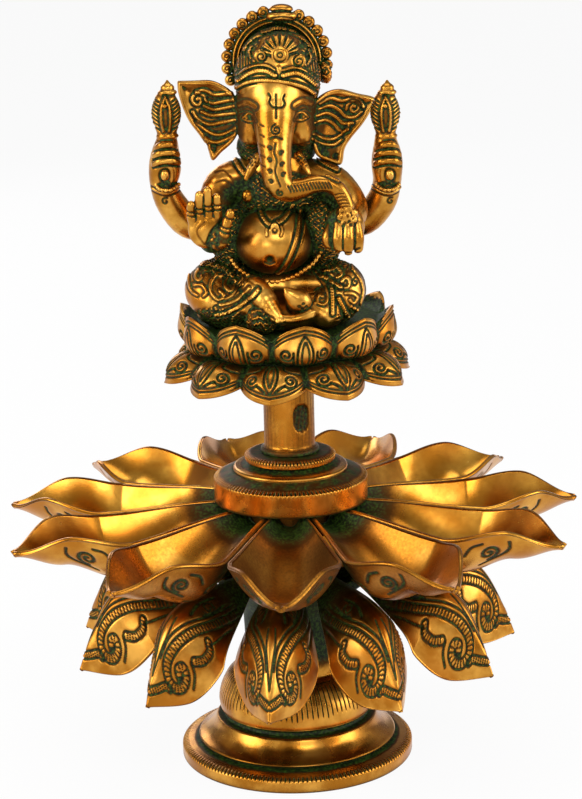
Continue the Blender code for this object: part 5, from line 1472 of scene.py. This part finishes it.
def halo(clay):
    cx, cz, back = -1.2, 106.4, 5.0
    cut, x, y, z = clay.part((-26, -2, 90), (27, 14, 132))
    away = np.hypot(x - cx, z - cz)
    ridge = 2.1 * np.exp(-((away - 15.9) / 0.8) ** 2) - 0.9 * np.exp(-((away - 14) / 1.0) ** 2)
    thick = np.maximum(back - 1.2 - ridge - y, y - back - 2.2)
    ring = np.maximum(away - 18.9, 97.5 - z + 0.15 * (x - cx))
    clay.join(cut, np.maximum(thick, ring).astype(np.float32), 0.3)
    clay.stain[cut] = np.maximum(clay.stain[cut], 0.85 * np.exp(-((away - 14.2) / 1.1) ** 2))
    clay.stain[cut] = np.maximum(clay.stain[cut], 0.6 * np.exp(-((away - 18.6) / 0.5) ** 2))
    for k in range(96):
        angle = math.radians(-24 + k * 229 / 95)
        px, pz = cx + 17.6 * math.cos(angle), cz + 17.6 * math.sin(angle)
        clay.ball((px, back - 1.5, pz), (0.62, 1.0, 0.62), 0.1)
    for k in range(17):
        degrees = -20 + k * 221 / 16
        if 68 < degrees < 104:
            continue
        angle = math.radians(degrees)
        px, pz = cx + 20.4 * math.cos(angle), cz + 20.4 * math.sin(angle)
        clay.ball((px, back - 0.4, pz), (2.5, 2.6, 2.5), 0.1)
        start = degrees + 120
        clay.cut_line(spiral((px, pz), 1.3, 0.5, start, 1.1, 10), back, 0.36, 0.6)
    clay.ball((1.2, back - 1.2, 124.6), (6.6, 4.6, 2.6), 0.4)
    clay.ball((1.0, back - 1.0, 127.2), (4.9, 3.6, 2.2), 0.4)
    clay.cut_line([(-3.4, 126.4), (1.0, 127.0), (5.6, 126.0)], back + 6, 0.4, 0.6)
    clay.cut_line([(-2.6, 124.0), (1.2, 124.6), (5.2, 123.8)], back + 6, 0.35, 0.4)
    clay.ball((18.4, 3.0, 101.4), (2.6, 3.0, 4.6), 0.5, -8)
    clay.cut_line(spiral((18.6, 102.0), 1.7, 0.5, 90, 1.3, 10), 4, 0.34, 0.5)
    clay.darken((18.4, 3.0, 101.4), (5, 6, 7), 0.7, 0.2)


def make_spigot():
    """The peg below the figure that drops into the seat's socket."""
    low, high, rim = FIGURE_BASE - 8.4, FIGURE_BASE + 0.5, 5.1
    turned("spigot_looks",
           [(0.01, high, 0), (rim, high, 0), (rim, low + 0.6, 0.3), (rim - 0.6, low, 0.3),
            (0.01, low, 0)],
           "figure_brass", "figure", [], 72)


def dress_hidden_nodes():
    """The hub, rod, washer and nut stay as they are in the model, and get a material."""
    for name, look in (("lotus_hub", "cast_brass"), ("tie_rod", "dark_brass"),
                       ("rod_washer", "dark_brass"), ("rod_nut", "dark_brass")):
        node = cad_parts[name]
        node.data.materials.clear()
        node.data.materials.append(LOOKS[look])


bpy.context.scene.view_settings.view_transform = "Standard"
LOOKS = make_materials()
add_camera()
add_floor()
add_light()
make_pedestal()
make_rings()
make_post()
make_lower_petals()
make_upper_petals()
make_seat()
sculpt_body()
sculpt_rear_arms()
sculpt_head()
sculpt_crown()
make_spigot()
dress_hidden_nodes()
